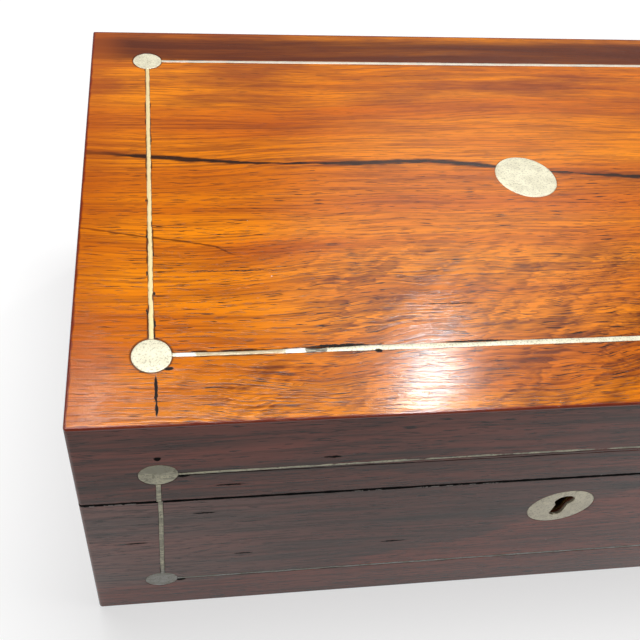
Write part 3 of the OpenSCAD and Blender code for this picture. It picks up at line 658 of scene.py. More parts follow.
def mahogany():
    """Polished mahogany with a straight, finer grain"""
    name = "mahogany_polished"
    if name in MATERIALS:
        return MATERIALS[name]
    light, dark = tuple(colours().mahogany), tuple(colours().mahogany_dark)
    wire, shader = new_material(name, roughness=0.38, coat_weight=0.4, coat_roughness=0.25)
    x, y, z = place_of(wire)
    grain = wire.group("wood_grain", along=x, across=y, depth=z, waver=0.002, band=140,
                       line=700, pore=2800)
    shade = wire.mix(grain["Bands"], light, dark)
    shade = wire.mix(grain["Lines"] * 0.4, shade, dark)
    shade = wire.mix(grain["Pores"] * 0.7, shade, shaded(dark, 0.3))
    wire.join(shade, shader["Base Color"])
    bump(wire, shader, grain["Pores"] * -1, 0.04 * MM, 0.5)
    return MATERIALS[name]


# Stretches of the top's front line, as centre and reach in x and y, with the colour that shows
# there: painted highlights at the first and third, a worn, pitted stretch and a dark pit at the
# others
LINE_TINTS = [((-142, -83.6), (3.2, 2), (0.95, 0.95, 0.92)),
              ((-125, -83.6), (14.2, 2), (0.42, 0.31, 0.17)),
              ((-107.2, -83.6), (3.2, 2), (0.95, 0.93, 0.88)),
              ((-100.6, -83.6), (3.6, 2), (0.06, 0.05, 0.04))]


def top_line_tints(wire, shade, x, y, z):
    """Yellows the left line's edges, greys the back line, and paints highlights, wear and pits on
    the front line in places
    """
    off = abs(x + TOP_LINE[0])
    rim = off.span_mm(0.35, 0.75, 0, 0.6) * wire.noise((x, y, z), 330, 3).span(0.50, 0.60)
    yellow = wire.mix(rim, (0.80, 0.64, 0.33), (0.30, 0.13, 0.03))
    shade = wire.mix(off.span_mm(2, 1.2) * abs(y).span_mm(78, 76), shade, yellow)
    back = y.span_mm(82, 82.6) * abs(x).span_mm(145.8, 145.2)
    shade = wire.mix(back * 0.5, shade, (0.6, 0.52, 0.47))
    streaks = wire.noise((x * 260, y * 2200, z), detail=3).span(0.40, 0.56)
    # Painted highlights, wear and pits along the front line
    for centre, reach, colour in LINE_TINTS:
        here = spot(x, y, centre, reach, 0.15) * (streaks * 0.45 + 0.5).held()
        shade = wire.mix(here, shade, colour)
    return shade


def metal(name, colour, roughness, dull, metallic=1.0, front=None):
    """Rubbed metal: scratches catch the light, spots and clouds are tarnished. front is a darker
    colour, painted shade, for what lies in the case's front"""
    if name in MATERIALS:
        return MATERIALS[name]
    wire, shader = new_material(name, metallic=metallic)
    x, y, z = place_of(wire)
    marks = wire.group("rubbed_metal", x=x, y=y, z=z)
    worn = marks["Spots"] * 0.6 + marks["Cloud"] * 0.35
    shade = wire.mix(worn, tuple(colour), dull)
    # On the case's front the metal takes the darker front colour as painted shade, greyer on the
    # base, with streaks, tarnish and a darker spot at the top of the lid's left disc
    if front:
        shade = top_line_tints(wire, shade, x, y, z)
        streaks = wire.noise((x * 90, z * 620, y), detail=3).span(0.46, 0.58)
        toned = wire.mix(z.span_mm(40, 32), front, (0.52, 0.52, 0.49))
        upper = spot(x, z, (-151.5, 116.4), (5.4, 2.6), 0.5) * 0.8
        darker = wire.mix(either([streaks * 0.75, worn, upper]), toned, shaded(front, 0.36))
        shade = wire.mix(y.span_mm(-100, -104), shade, darker)
    wire.join(shade, shader["Base Color"])
    wire.join(marks["Spots"] * 0.2 + roughness, shader["Roughness"])
    bump(wire, shader, marks["Spots"] - marks["Scratches"], 0.02 * MM, 0.4)
    return MATERIALS[name]


def white_metal():
    # The front colour is this metal's painted shade on the case's front
    return metal("white_metal_rubbed", colours().white_metal, 0.42, (0.40, 0.36, 0.25),
                 metallic=0.2, front=(0.66, 0.62, 0.43))


def escutcheon_metal():
    return metal("escutcheon_metal", (0.74, 0.68, 0.50), 0.34, (0.42, 0.38, 0.28), metallic=0.35)


def brass():
    return metal("brass_rubbed", colours().brass, 0.28, (0.30, 0.17, 0.06))


def steel():
    return metal("steel_blued", (0.36, 0.35, 0.34), 0.36, (0.12, 0.10, 0.09))


def leather(name, gilt_u, gilt_v):
    """Morocco leather with a pebbled grain, and a gilt line inset from the sheet's outline.

    The sheet's own map holds its distance from the middle, in metres along u and v.
    """
    hide = tuple(colours().leather)
    wire, shader = new_material(name)
    u, v, _ = wire.parts(wire.first("UVMap", uv_map="sheet"))
    place = wire.vector(*place_of(wire))
    pebble = wire.cells(place, 1400)
    cloud = wire.noise(place, 38, 4).span(0.35, 0.7)
    shade = wire.mix(cloud * 0.5, hide, shaded(hide, 1.9))
    shade = wire.mix(pebble.span(0.55, 0.8) * 0.5, shade, shaded(hide, 0.35))
    outline = wire.group("inlay_outline", u=u, v=v, half_u=gilt_u, half_v=gilt_v, radius=0.0)
    rule = outline["Line"].span_mm(0.75, 0.6)
    inner = abs(outline["Line"] - 2.4 * MM).span_mm(0.28, 0.18)
    line = rule.most(inner) * wire.noise(place, 260, 4).span(0.3, 0.42)
    wire.join(wire.mix(line, shade, tuple(colours().gilt)), shader["Base Color"])
    wire.join(line * 0.9, shader["Metallic"])
    wire.join(line * -0.2 + 0.52, shader["Roughness"])
    bump(wire, shader, line * -0.8 - pebble, 0.12 * MM, 0.6)
    return MATERIALS[name]


def lining():
    """Blue-grey laid paper: fibres, faint ribs and worn lighter patches"""
    paper = tuple(colours().paper)
    wire, shader = new_material("lining_paper", roughness=0.85)
    x, y, z = place_of(wire)
    fibre = wire.noise((x * 900, y * 3000, z * 900), detail=3)
    rib = wire.math("SINE", y * 4200)
    shade = wire.mix(wire.noise((x, y, z), 22, 4).span(0.35, 0.7), paper, shaded(paper, 1.5))
    shade = wire.mix(fibre.span(0.55, 0.75) * 0.4, shade, shaded(paper, 0.6))
    wire.join(shade, shader["Base Color"])
    bump(wire, shader, rib * 0.3 + fibre, 0.05 * MM, 0.5)
    return MATERIALS["lining_paper"]


def silk():
    """Grosgrain ribbon: fine ribs across its width"""
    ribbon = tuple(colours().ribbon)
    wire, shader = new_material("ribbon_silk", roughness=0.5, sheen_weight=0.4)
    rib = wire.math("SINE", place_of(wire)[1] * 9000)
    wire.join(wire.mix(rib.span(-1, 1, 0, 0.6), ribbon, shaded(ribbon, 0.4)),
              shader["Base Color"])
    bump(wire, shader, rib, 0.06 * MM, 0.6)
    return MATERIALS["ribbon_silk"]


def glass():
    """Moulded glass, a little wavy on its faces"""
    wire, shader = new_material("bottle_glass", base_color=(0.86, 0.95, 0.93), roughness=0.03,
                                transmission_weight=1, ior=1.5)
    bump(wire, shader, wire.noise(place_of(wire), 70), 0.25 * MM, 0.25)
    return MATERIALS["bottle_glass"]


# Pieces

def new_piece(name, points, faces, material, body, slot, replaced=(), angle=32):
    """Puts points and faces in a mesh whose faces look outwards, and lets it ride on its body.

    faces holds arrays, each with the corners of faces of one kind as its rows.
    """
    mesh = bpy.data.meshes.new(name)
    mesh.from_pydata(points.tolist(), [], [face for block in faces for face in block.tolist()])
    built = bmesh.new()
    built.from_mesh(mesh)
    bmesh.ops.recalc_face_normals(built, faces=built.faces)
    built.to_mesh(mesh)
    built.free()
    return finish_piece(name, mesh, material, body, replaced, angle)


def finish_piece(name, mesh, material, body, replaced, angle):
    mesh.shade_smooth()
    mesh.set_sharp_from_angle(angle=math.radians(angle))
    piece = bpy.data.objects.new(name, mesh)
    bpy.context.scene.collection.objects.link(piece)
    mesh.materials.clear()
    mesh.materials.append(material)
    if body:
        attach(piece, body)
    if replaced:
        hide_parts(*replaced)
    return piece


def skin(rings, closed=False):
    """Quads between neighbouring closed sections, and a flat face over each open end.

    rings holds the sections in order, as an array (sections, points round, 3).
    """
    n, k = rings.shape[:2]
    i = np.arange(n if closed else n - 1)[:, None]
    j = np.arange(k)[None, :]
    after, beside = (i + 1) % n, (j + 1) % k
    quads = np.stack([i * k + j, i * k + beside, after * k + beside, after * k + j], -1)
    faces = [quads.reshape(-1, 4)]
    if not closed:
        faces.append(j + np.array([[0], [(n - 1) * k]]))
    return rings.reshape(-1, 3), faces


def gather(shapes):
    """Several skins as one: the faces of each count on from the points of those before"""
    points, faces, start = [], [], 0
    for p, f in shapes:
        points.append(p)
        faces += [block + start for block in f]
        start += len(p)
    return np.concatenate(points), faces


def softened(node, name, width, material, angle=35):
    """A copy of a frame part, merged and cleared of its flat triangles, with rounded edges"""
    source = frame["nodes"][node]
    mesh = source.data.copy()
    mesh.name = name
    built = bmesh.new()
    built.from_mesh(mesh)
    bmesh.ops.remove_doubles(built, verts=built.verts, dist=1e-6)
    bmesh.ops.dissolve_limit(built, angle_limit=math.radians(0.4), verts=built.verts,
                             edges=built.edges)
    built.to_mesh(mesh)
    built.free()
    piece = finish_piece(name, mesh, material, source["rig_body"], (node,), angle)
    if width:
        rounding = piece.modifiers.new("softened_edges", "BEVEL")
        rounding.width = width
        rounding.segments = 2
        rounding.limit_method = "ANGLE"
        rounding.angle_limit = math.radians(angle)
        rounding.use_clamp_overlap = True


def soften(nodes, ending, width, material):
    """Softens several frame parts, each piece named after its part with an ending"""
    for node in nodes:
        softened(node, f"{node}_{ending}", width, material)


def wander(s, draw, size, longest=0.05, terms=7):
    """A smooth random line: sines of falling length and height, with random phases"""
    k = np.arange(terms)
    length = longest * 0.55 ** k
    height = size * 0.72 ** k
    phase = draw.uniform(0, 2 * np.pi, terms)
    return (height * np.sin(2 * np.pi * s[:, None] / length + phase)).sum(1)


def strip(start, end, out, draw, narrow=(), sunk=(), width=None, broader=None,
          bow=0.0):
    """A metal line from start to end in a face that looks out.

    Its section is a flat bar with eased upper edges. Each edge strays by its own smooth random
    line. narrow holds (at, reach, side, share): the edge on that side draws in by share of the
    width within reach of at. sunk holds (at, reach, drop): the line's face drops there. Past
    45 mm the line grows to broader times its width. Its middle is bow away from a straight line.
    """
    start, end, out = (np.array(v, float) for v in (start, end, out))
    length = np.linalg.norm(end - start)
    ahead = (end - start) / length
    side = np.cross(out, ahead)
    s = np.linspace(0, length, max(24, int(length / (0.6 * MM))))
    half = (width or sizes().string_width) / 2
    if broader:
        half = half * (1 + (broader - 1) / (1 + np.exp((45 * MM - s) / (5 * MM))))
    stray = sizes().string_wander
    edges = []
    for sign in (-1, 1):
        e = half + wander(s, draw, stray * 0.35)
        for at, reach, where, share in narrow:
            if where == sign:
                e = e - 2 * half * share * np.exp(-((s - at) / reach) ** 4)
        edges.append(sign * e)
    edges = [e + bow * np.sin(np.pi * s / length) for e in edges]
    face = wander(s, draw, 0.015 * MM, 0.03)
    for at, reach, drop in sunk:
        face = face - drop * np.exp(-((s - at) / reach) ** 4)
    left, right = edges
    ease = 0.12 * MM
    middle = (left + right) / 2
    section = [(left, -INLAY_DEPTH), (left, face - ease), (left + ease * 0.4, face - ease * 0.3),
               (left + ease, face), (middle, face + 0.03 * MM), (right - ease, face),
               (right - ease * 0.4, face - ease * 0.3), (right, face - ease),
               (right, -INLAY_DEPTH)]
    rings = np.stack([start + s[:, None] * ahead + np.broadcast_to(u, s.shape)[:, None] * side
                      + np.broadcast_to(h, s.shape)[:, None] * out for u, h in section], 1)
    return skin(rings)


def inlaid_disc(centre, out, radius, draw, dome, around=72):
    """A round inlay: its face bulges by dome * (1 - (r/R)^2), and its rim strays a little"""
    out = np.array(out, float)
    u = np.array([1.0, 0, 0])
    v = np.cross(out, u)
    angle = np.linspace(0, 2 * np.pi, around, endpoint=False)
    stray = sum(draw.uniform(-1, 1) * 0.05 * MM * np.cos(k * angle + draw.uniform(0, 6.3))
                for k in (2, 3, 5, 9))
    rings = []
    for share, h in ((0.04, None), (0.3, None), (0.55, None), (0.78, None), (0.92, None),
                     (0.975, None), (0.995, -0.08 * MM), (1.0, -0.2 * MM),
                     (1.0, -INLAY_DEPTH), (0.5, -INLAY_DEPTH), (0.04, -INLAY_DEPTH)):
        r = share * (radius + stray)
        height = dome * (1 - share ** 2) - 0.02 * MM if h is None else h
        rings.append(np.array(centre) + (r * np.cos(angle))[:, None] * u
                     + (r * np.sin(angle))[:, None] * v + height * out)
    return skin(np.array(rings))


def keyhole_reach(angle, head_up, head_r, half, foot):
    """Distance from the keyhole's neck to its outline: the far side of its round head, of its
    slot or of the slot's round end, whichever is furthest"""
    c, s = np.cos(angle), np.sin(angle)

    def circle(z, r):
        along = s * z
        inside = along ** 2 - z ** 2 + r ** 2
        return np.where(inside >= 0, along + np.sqrt(np.maximum(inside, 0)), 0)

    slot = np.minimum(half / np.maximum(np.abs(c), 1e-6),
                      np.where(s < 0, foot / np.minimum(s, -1e-6), 0))
    slot = np.where(s < 0, slot, np.minimum(slot, half))
    return np.maximum.reduce([circle(head_up, head_r), circle(foot, half), slot])


# The keyhole's neck above the plate's middle, and from the neck: the middle and radius of its
# head, half the width of its slot, and the middle of the slot's round end
KEY_NECK = 1.73 * MM
KEYHOLE = (2.77 * MM, 3.7 * MM, 2.45 * MM, -6.48 * MM)


def escutcheon_shape(centre, radius, around=144):
    """A round plate with a keyhole: rings run from the hole's back edge over a rounded face to
    the plate's rim, and back underneath"""
    middle = np.array([centre[0], centre[2]])
    angle = np.linspace(0, 2 * np.pi, around, endpoint=False)
    ray = np.stack([np.cos(angle), np.sin(angle)], 1)
    inner = middle + (0, KEY_NECK) + keyhole_reach(angle, *KEYHOLE)[:, None] * ray
    outer = middle + radius * ray
    rings = []
    for share, y in ((0.0, 0.95), (0.0, 0.25), (0.012, 0.06), (0.05, 0.0), (0.3, -0.1),
                     (0.6, -0.13), (0.85, -0.08), (0.96, -0.02), (0.99, 0.06), (1.0, 0.2),
                     (1.0, 0.95)):
        flat = inner + (outer - inner) * share
        rings.append(np.stack([flat[:, 0], np.full(around, centre[1] + y * MM), flat[:, 1]], 1))
    return skin(np.array(rings), closed=True)


def turned(profile, centre, around=96, ridges=0, ridge=0.0, where=(0, 0), closed=False):
    """A turned shape: profile (radius, height), in millimetres, carried round a centre. Heights
    within where get fine upright ridges"""
    angle = np.linspace(0, 2 * np.pi, around, endpoint=False)
    rings = []
    for r, h in profile:
        cut = ridge * np.cos(ridges * angle) if where[0] <= h <= where[1] else 0
        reach = r * MM + cut
        rings.append(np.stack([centre[0] + reach * np.cos(angle),
                               centre[1] + reach * np.sin(angle),
                               np.full(around, centre[2] + h * MM)], 1))
    return skin(np.array(rings), closed)


def sheet_shape(half_w, l0, l1, top, thick, side, rows):
    """A thin leather sheet on a sloping board: its section is a flat bar with rounded edges,
    carried from l0 to l1 along the seam. side is -1 in the base and 1 in the lid. Its columns
    are close together where the catch's pocket cuts it, and run over both its faces and ends"""
    pocket = CATCH_X + np.concatenate([np.linspace(-3.4, 3.4, 15), np.linspace(3.9, 8.7, 17)]) * MM
    across = np.sort(np.concatenate([np.linspace(-half_w, half_w, 40), pocket]))
    ease = 0.3 * MM
    across = np.sort(np.concatenate([across, [ease * 0.3 - half_w, half_w - ease * 0.3]]))
    height = np.zeros(len(across))
    height[[0, 1, -2, -1]] = -ease, -ease * 0.3, -ease * 0.3, -ease
    section = np.concatenate([np.stack([across, height], 1),
                              np.stack([across, 0 * across - thick], 1)[::-1]])
    steps = np.concatenate([[l0], np.array(rows), [l1]])
    rings = []
    for l in steps:
        h = side * (top - section[:, 1])
        rings.append(np.array(HINGE) + l * SEAM_ALONG + np.stack(
            [section[:, 0], 0 * h, 0 * h], 1) + h[:, None] * SEAM_UP)
    points, faces = skin(np.array(rings))
    i, k = np.arange(len(across) - 1), len(section)
    end = np.stack([i, i + 1, k - 2 - i, k - 1 - i], 1)
    faces = [faces[0], end, end + (len(steps) - 1) * k]
    return (points, faces), section[:, 0], steps


def bottle_shape(x, y, z, half, height, neck_r, neck_h, bore_r, neck_bore_r, floor):
    """A square ink bottle: each ring is a superellipse |x|^n + |y|^n = r^n, square in the body
    and round in the neck, and the rings go on down inside to close the wall"""
    angle = np.linspace(0, 2 * np.pi, 96, endpoint=False)
    c, s = np.cos(angle), np.sin(angle)
    top = height + neck_h
    r = half
    outside = [(r * 0.05, 0, 9), (r * 0.6, 0, 9), (r - 1.2 * MM, 0, 9),
               (r - 0.35 * MM, 0.3 * MM, 9), (r, 1.4 * MM, 9), (r, height - 2.2 * MM, 9),
               (r - 0.5 * MM, height - 0.9 * MM, 9),
               (r - 1.8 * MM, height - 0.1 * MM, 8), (neck_r + 1.2 * MM, height, 2.6),
               (neck_r + 0.2 * MM, height + 0.25 * MM, 2), (neck_r, height + 1 * MM, 2),
               (neck_r, top - 0.5 * MM, 2), (neck_r - 0.5 * MM, top, 2),
               (neck_bore_r + 0.4 * MM, top, 2), (neck_bore_r, top - 0.4 * MM, 2),
               (neck_bore_r, height - floor, 2), (bore_r - 2 * MM, height - floor - 0.6 * MM, 2),
               (bore_r, height - floor - 2.5 * MM, 2), (bore_r, floor + 3 * MM, 2),
               (bore_r - 1 * MM, floor + 1 * MM, 2), (bore_r - 3 * MM, floor, 2),
               (bore_r * 0.5, floor - 0.3 * MM, 2), (bore_r * 0.04, floor - 0.4 * MM, 2)]
    rings = []
    for size, h, n in outside:
        reach = size / (np.abs(c) ** n + np.abs(s) ** n) ** (1 / n)
        rings.append(np.stack([x + reach * c, y + reach * s, np.full(96, z + h)], 1))
    return skin(np.array(rings))


# Operators: one for each group of pieces, and one for the stage

SIDES = ("front", "back", "left", "right")


class BuildVeneers(bpy.types.Operator):
    """Polished rosewood on the lid's top and on all four sides"""

    bl_idname = "slope.build_veneers"
    bl_label = "Veneers"

    def execute(self, context):
        front = rosewood("rosewood_front", 0, 2, 1, FRONT_MARKS, FIGURE_TURN)
        back = rosewood("rosewood_back", 0, 2, 1)
        ends = rosewood("rosewood_ends", 1, 2, 0)
        fine = 0.12 * MM
        softened("lid_top_veneer", "top_veneer_polished", fine, top_rosewood())
        for part in ("lid", "base"):
            for side, material in zip(SIDES, (front, back, ends, ends)):
                soften((f"{part}_{side}_veneer",), "polished", min(sizes().edge, fine), material)
        return {"FINISHED"}


class BuildCarcass(bpy.types.Operator):
    """Mahogany boards of base and lid"""

    bl_idname = "slope.build_carcass"
    bl_label = "Carcass"

    def execute(self, context):
        wood = mahogany()
        softened("base_bottom_board", "bottom_board_planed", sizes().edge, wood)
        soften(("lid_top_board",), "planed", 0.1 * MM, wood)
        for part in ("lid", "base"):
            soften([f"{part}_{side}_board" for side in SIDES], "planed", 0.15 * MM, wood)
        return {"FINISHED"}


class BuildStringing(bpy.types.Operator):
    """Metal lines let into the top and the front, with strayed edges and nicks"""

    bl_idname = "slope.build_stringing"
    bl_label = "Stringing"

    def execute(self, context):
        draw = np.random.default_rng(sizes().seed)
        gap = DISC_R + 0.1 * MM
        x, y = TOP_LINE
        up, out = (0, 0, 1), (0, -1, 0)
        start = gap - x
        pits = [(-100.6 * MM - start, 3 * MM, 0.25 * MM), (-125 * MM - start, 13 * MM, 0.1 * MM)]
        nicks = [(-126 * MM - start, 13 * MM, 1, 0.16), (-80.4 * MM - start, 1 * MM, -1, 0.3),
                 (-94 * MM - start, 7 * MM, 1, 0.12), (-48 * MM - start, 9 * MM, 1, 0.1)]
        lid = [strip((start, -y, TOP_Z), (-start, -y, TOP_Z), up, draw, nicks, pits, broader=1.3),
               strip((start, y, TOP_Z), (-start, y, TOP_Z), up, draw, broader=1.25)]
        gnawed = [((at - 77) * MM + y, 1.6 * MM, side, 0.16)
                  for at, side in ((6, 1), (11, -1), (19, 1), (37, 1), (46, -1), (58, 1))]
        for side, bites in ((-1, gnawed), (1, ())):
            lid.append(strip((side * x, gap - y, TOP_Z), (side * x, y - gap, TOP_Z), up, draw,
                             bites))
        fx, fy = FRONT_LINE_X, -HALF_D
        lid_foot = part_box("lid_stringing")[0].z
        base_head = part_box("base_stringing")[1].z

        def front_line(z, width, **more):
            return strip((gap - fx, fy, z), (fx - gap, fy, z), out, draw, width=width, **more)

        lid.append(front_line(LID_LINE_Z, 1.3 * MM, bow=1.6 * MM))
        base = [front_line(BASE_LINE_Z, 1.2 * MM)]
        for side in (-1, 1):
            lid.append(strip((side * fx, fy, lid_foot), (side * fx, fy, LID_LINE_Z - gap),
                             out, draw))
            at = side * (fx - 0.5 * MM)
            base.append(strip((at, fy, BASE_LINE_Z + gap), (at, fy, base_head), out, draw))
        patch = front_line(LID_LINE_Z, 1.56 * MM, sunk=[(0, 1, 0.07 * MM)])
        new_piece("lid_line_patch", *patch, MATERIALS["rosewood_front"], "lid", "rosewood")
        for part, shapes in (("lid", lid), ("base", base)):
            new_piece(f"{part}_lines", *gather(shapes), white_metal(), part, "white_metal",
                      (f"{part}_stringing",))
        return {"FINISHED"}


class BuildDiscs(bpy.types.Operator):
    """Round inlays of the top and front, and the medallion in the middle of the top"""

    bl_idname = "slope.build_discs"
    bl_label = "Discs and medallion"

    def execute(self, context):
        draw = np.random.default_rng(sizes().seed + 1)
        x, y = TOP_LINE

        def disc(centre, out, radius=DISC_R):
            return inlaid_disc(centre, out, radius, draw, sizes().disc_dome)

        up, out = (0, 0, 1), (0, -1, 0)
        lid = [disc((i * x, j * y, TOP_Z), up) for i in (-1, 1) for j in (-1, 1)]
        lid += [disc((i * FRONT_LINE_X, -HALF_D, LID_LINE_Z), out) for i in (-1, 1)]
        base = [disc((i * FRONT_LINE_X, -HALF_D, BASE_LINE_Z), out) for i in (-1, 1)]
        middle = disc((0, 0, TOP_Z), up, PLATE_R)
        for name, shape, body, node in (
                ("lid_disc_inlays", gather(lid), "lid", "lid_discs"),
                ("base_disc_inlays", gather(base), "base", "base_discs"),
                ("top_medallion", middle, "lid", "lid_medallion")):
            new_piece(name, *shape, white_metal(), body, "white_metal", (node,))
        return {"FINISHED"}


class BuildEscutcheon(bpy.types.Operator):
    """Round keyhole plate"""

    bl_idname = "slope.build_escutcheon"
    bl_label = "Escutcheon"

    def execute(self, context):
        shape = escutcheon_shape((0, -HALF_D, KEY_Z), PLATE_R)
        new_piece("escutcheon_plate", *shape, escutcheon_metal(), "base", "white_metal",
                  ("keyhole_escutcheon",))
        return {"FINISHED"}


class BuildHinges(bpy.types.Operator):
    """Butt hinges: leaves, pins and screws"""

    bl_idname = "slope.build_hinges"
    bl_label = "Hinges"

    def execute(self, context):
        edge = sizes().metal_edge
        soften(("base_hinge_leaves", "lid_hinge_leaves"), "filed", edge, brass())
        soften(("base_hinge_screws", "lid_hinge_screws"), "turned", 0, brass())
        soften(("hinge_pins",), "turned", edge, steel())
        return {"FINISHED"}


class BuildLock(bpy.types.Operator):
    """Box lock with its bolt and link plate, and the turn catch of the lid's flap"""

    bl_idname = "slope.build_lock"
    bl_label = "Lock and catch"

    def execute(self, context):
        edge = sizes().metal_edge
        soften(("lock_case", "lock_back_plate", "link_plate", "flap_catch"), "filed", edge,
               brass())
        soften(("lock_bolt",), "filed", edge, steel())
        soften(("lock_screws", "lid_rim_screws"), "turned", 0, steel())
        return {"FINISHED"}


class BuildPenWell(bpy.types.Operator):
    """Divider, partitions, raised floors, pen tray and its ledges"""

    bl_idname = "slope.build_pen_well"
    bl_label = "Pen well"

    def execute(self, context):
        soften(("pen_well_divider", "ink_partitions", "inkwell_platforms", "pen_tray",
                "pen_tray_ledges"), "planed", sizes().edge, mahogany())
        return {"FINISHED"}


class BuildInk(bpy.types.Operator):
    """Two square ink bottles with brass collars and knurled caps"""

    bl_idname = "slope.build_ink"
    bl_label = "Ink bottles"

    def execute(self, context):
        low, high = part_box("ink_bottles")
        y = (low.y + high.y) / 2
        half = (high.y - low.y) / 2
        x = high.x - half
        height = 36 * MM
        shoulder = low.z + height
        bottles = [bottle_shape(side * x, y, low.z, half, height, neck_r=11 * MM,
                                neck_h=7 * MM, bore_r=15 * MM, neck_bore_r=7.5 * MM,
                                floor=5 * MM) for side in (-1, 1)]
        new_piece("ink_bottle_pair", *gather(bottles), glass(), "base", "glass",
                  ("ink_bottles",), angle=50)
        ring = [(11.05, 0), (12.2, 0), (12.4, 0.2), (12.4, 5.8), (12.2, 6), (11.2, 6),
                (11.05, 5.85)]
        collars = [turned(ring, (side * x, y, shoulder), closed=True) for side in (-1, 1)]
        new_piece("ink_collars_turned", *gather(collars), brass(), "base", "brass",
                  ("ink_bottle_collars",))
        cap = [(0.05, 7.3), (11.9, 7.3), (12.45, 6.9), (12.45, 0.4), (13.4, 0.4), (13.6, 0.6),
               (13.6, 1.1), (13.3, 1.35), (13.3, 1.5), (13.5, 1.7), (13.5, 6.1), (13.3, 6.3),
               (13.3, 6.45), (13.6, 6.7), (13.6, 7.6), (13.4, 8.1), (12.8, 8.45), (12.2, 8.5),
               (9.0, 8.35), (6.4, 8.4), (5.1, 8.6), (4.0, 9.1), (3.3, 9.6), (3.6, 10.0),
               (4.6, 10.3), (4.95, 10.7), (4.8, 11.15), (4.2, 11.4), (2.0, 11.5), (0.05, 11.5)]
        for side, label in ((-1, "left"), (1, "right")):
            shape = turned(cap, (side * x, y, shoulder), around=288, ridges=48,
                           ridge=0.12 * MM, where=(1.65, 6.15))
            new_piece(f"{label}_cap_knurled", *shape, brass(), f"{label}_ink_cap", "brass",
                      (f"{label}_ink_cap",))
        return {"FINISHED"}


def catch_bite(x):
    """Depth of the catch's pocket in the leather's edge at x: the far side of its sweep"""
    sweep_r, sweep_back, tip_r, tip_ahead = 8.5 * MM, 4.8 * MM, 3.3 * MM, 0.4 * MM
    off = x - CATCH_X
    sweep = np.sqrt(np.maximum(sweep_r ** 2 - off ** 2, 0)) - sweep_back
    tip = np.sqrt(np.maximum(tip_r ** 2 - off ** 2, 0)) + tip_ahead
    tip = np.where(np.abs(off) < tip_r, tip, 0)
    return np.maximum(np.where(off >= 0, np.maximum(sweep, 0), 0), tip)


# The leather's crease along the seam from the hinge, and how far its close rows reach each way
CREASE = 21.55 * MM
BEND = 1.6 * MM


def leather_sheet(part, side):
    """One sheet of leather over a rail and its flap, with close rows about the crease between them
    """
    rail, flap = f"{part}_rail_leather", f"{part}_flap_leather"
    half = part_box(flap)[1].x
    top, thick = 0.5 * MM, 0.8 * MM
    l0 = (HINGE.y - CAVE_Y) / math.cos(SEAM_ANGLE) + 0.1 * MM
    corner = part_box(flap)[0]
    l1 = (HINGE.y - corner.y) / math.cos(SEAM_ANGLE) - (0.14 * MM if side < 0 else 0.0)
    rows = np.concatenate([np.linspace(l0 + 0.15 * MM, CREASE - 2 * MM, 5),
                           np.linspace(CREASE - BEND, CREASE + BEND, 17),
                           np.linspace(CREASE + 2 * MM, l1 - 12 * MM, 20),
                           np.linspace(l1 - 9 * MM, l1 - 0.3 * MM, 12)])
    (points, faces), across, steps = sheet_shape(half, l0, l1, top, thick, side, rows)
    if side > 0:
        share = np.clip((steps - (l1 - 12 * MM)) / (12 * MM), 0, 1)
        x = points[:, 0]
        pull = np.repeat(share, len(across)) * catch_bite(x)
        points = points - pull[:, None] * SEAM_ALONG
    middle = (l0 + l1) / 2
    inset = sizes().gilt_inset
    material = leather(f"{part}_leather", half - inset, (l1 - l0) / 2 - inset)
    name = f"{part}_writing_leather"
    piece = new_piece(name, points, faces, material, None, "leather", (rail, flap))
    along = (points - np.array(HINGE)) @ SEAM_ALONG - middle
    flat = np.stack([points[:, 0], along], 1).astype(np.float32)
    corners = np.zeros(len(piece.data.loops), np.int32)
    piece.data.loops.foreach_get("vertex_index", corners)
    uv = piece.data.uv_layers.new(name="sheet")
    uv.uv.foreach_set("vector", flat[corners].ravel())
    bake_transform(piece)


def ribbon_shape(half, l0, l1, low, high):
    """A short ribbon along the seam: a flat bar whose free end is cut to a swallowtail, and
    which lifts by a gentle wave between its ends"""
    u = np.array([-1, -0.5, 0, 0.5, 1, 1, 0.5, 0, -0.5, -1]) * half
    upper = np.array([1] * 5 + [0] * 5)
    rings = []
    for t in np.linspace(0, 1, 22):
        wave = 0.04 * MM * np.sin(5 * t)
        end = l1 - 2.2 * MM * (1 - np.abs(u) / half) * t ** 6
        l = l0 + t * (end - l0)
        h = -np.where(upper, high - wave, low - wave)
        rings.append(np.array(HINGE) + np.stack([u, 0 * u, 0 * u], 1)
                     + l[:, None] * SEAM_ALONG + h[:, None] * SEAM_UP)
    return skin(np.array(rings))


class BuildFlaps(bpy.types.Operator):
    """Writing flaps: boards, rails and ledges, their leather, and the ribbon tab"""

    bl_idname = "slope.build_flaps"
    bl_label = "Writing flaps"

    def execute(self, context):
        soften(("base_flap_board", "lid_flap_board", "base_hinge_rail", "lid_hinge_rail",
                "base_flap_ledges", "lid_flap_ledges"), "planed", 0.2 * MM, mahogany())
        for part, side in (("base", -1), ("lid", 1)):
            leather_sheet(part, side)
        low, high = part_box("base_flap_ribbon")
        l0 = (HINGE.y - high.y) / math.cos(SEAM_ANGLE)
        l1 = (HINGE.y - low.y) / math.cos(SEAM_ANGLE)
        shape = ribbon_shape(high.x, l0, l1, 0.49 * MM, 0.21 * MM)
        tab = new_piece("ribbon_tab", *shape, silk(), "base_flap", "ribbon",
                        ("base_flap_ribbon",))
        return {"FINISHED"}


class BuildLinings(bpy.types.Operator):
    """Paper on the floors of the two wells"""

    bl_idname = "slope.build_linings"
    bl_label = "Linings"

    def execute(self, context):
        soften(("base_well_lining", "lid_well_lining"), "pasted", 0.05 * MM, lining())
        return {"FINISHED"}


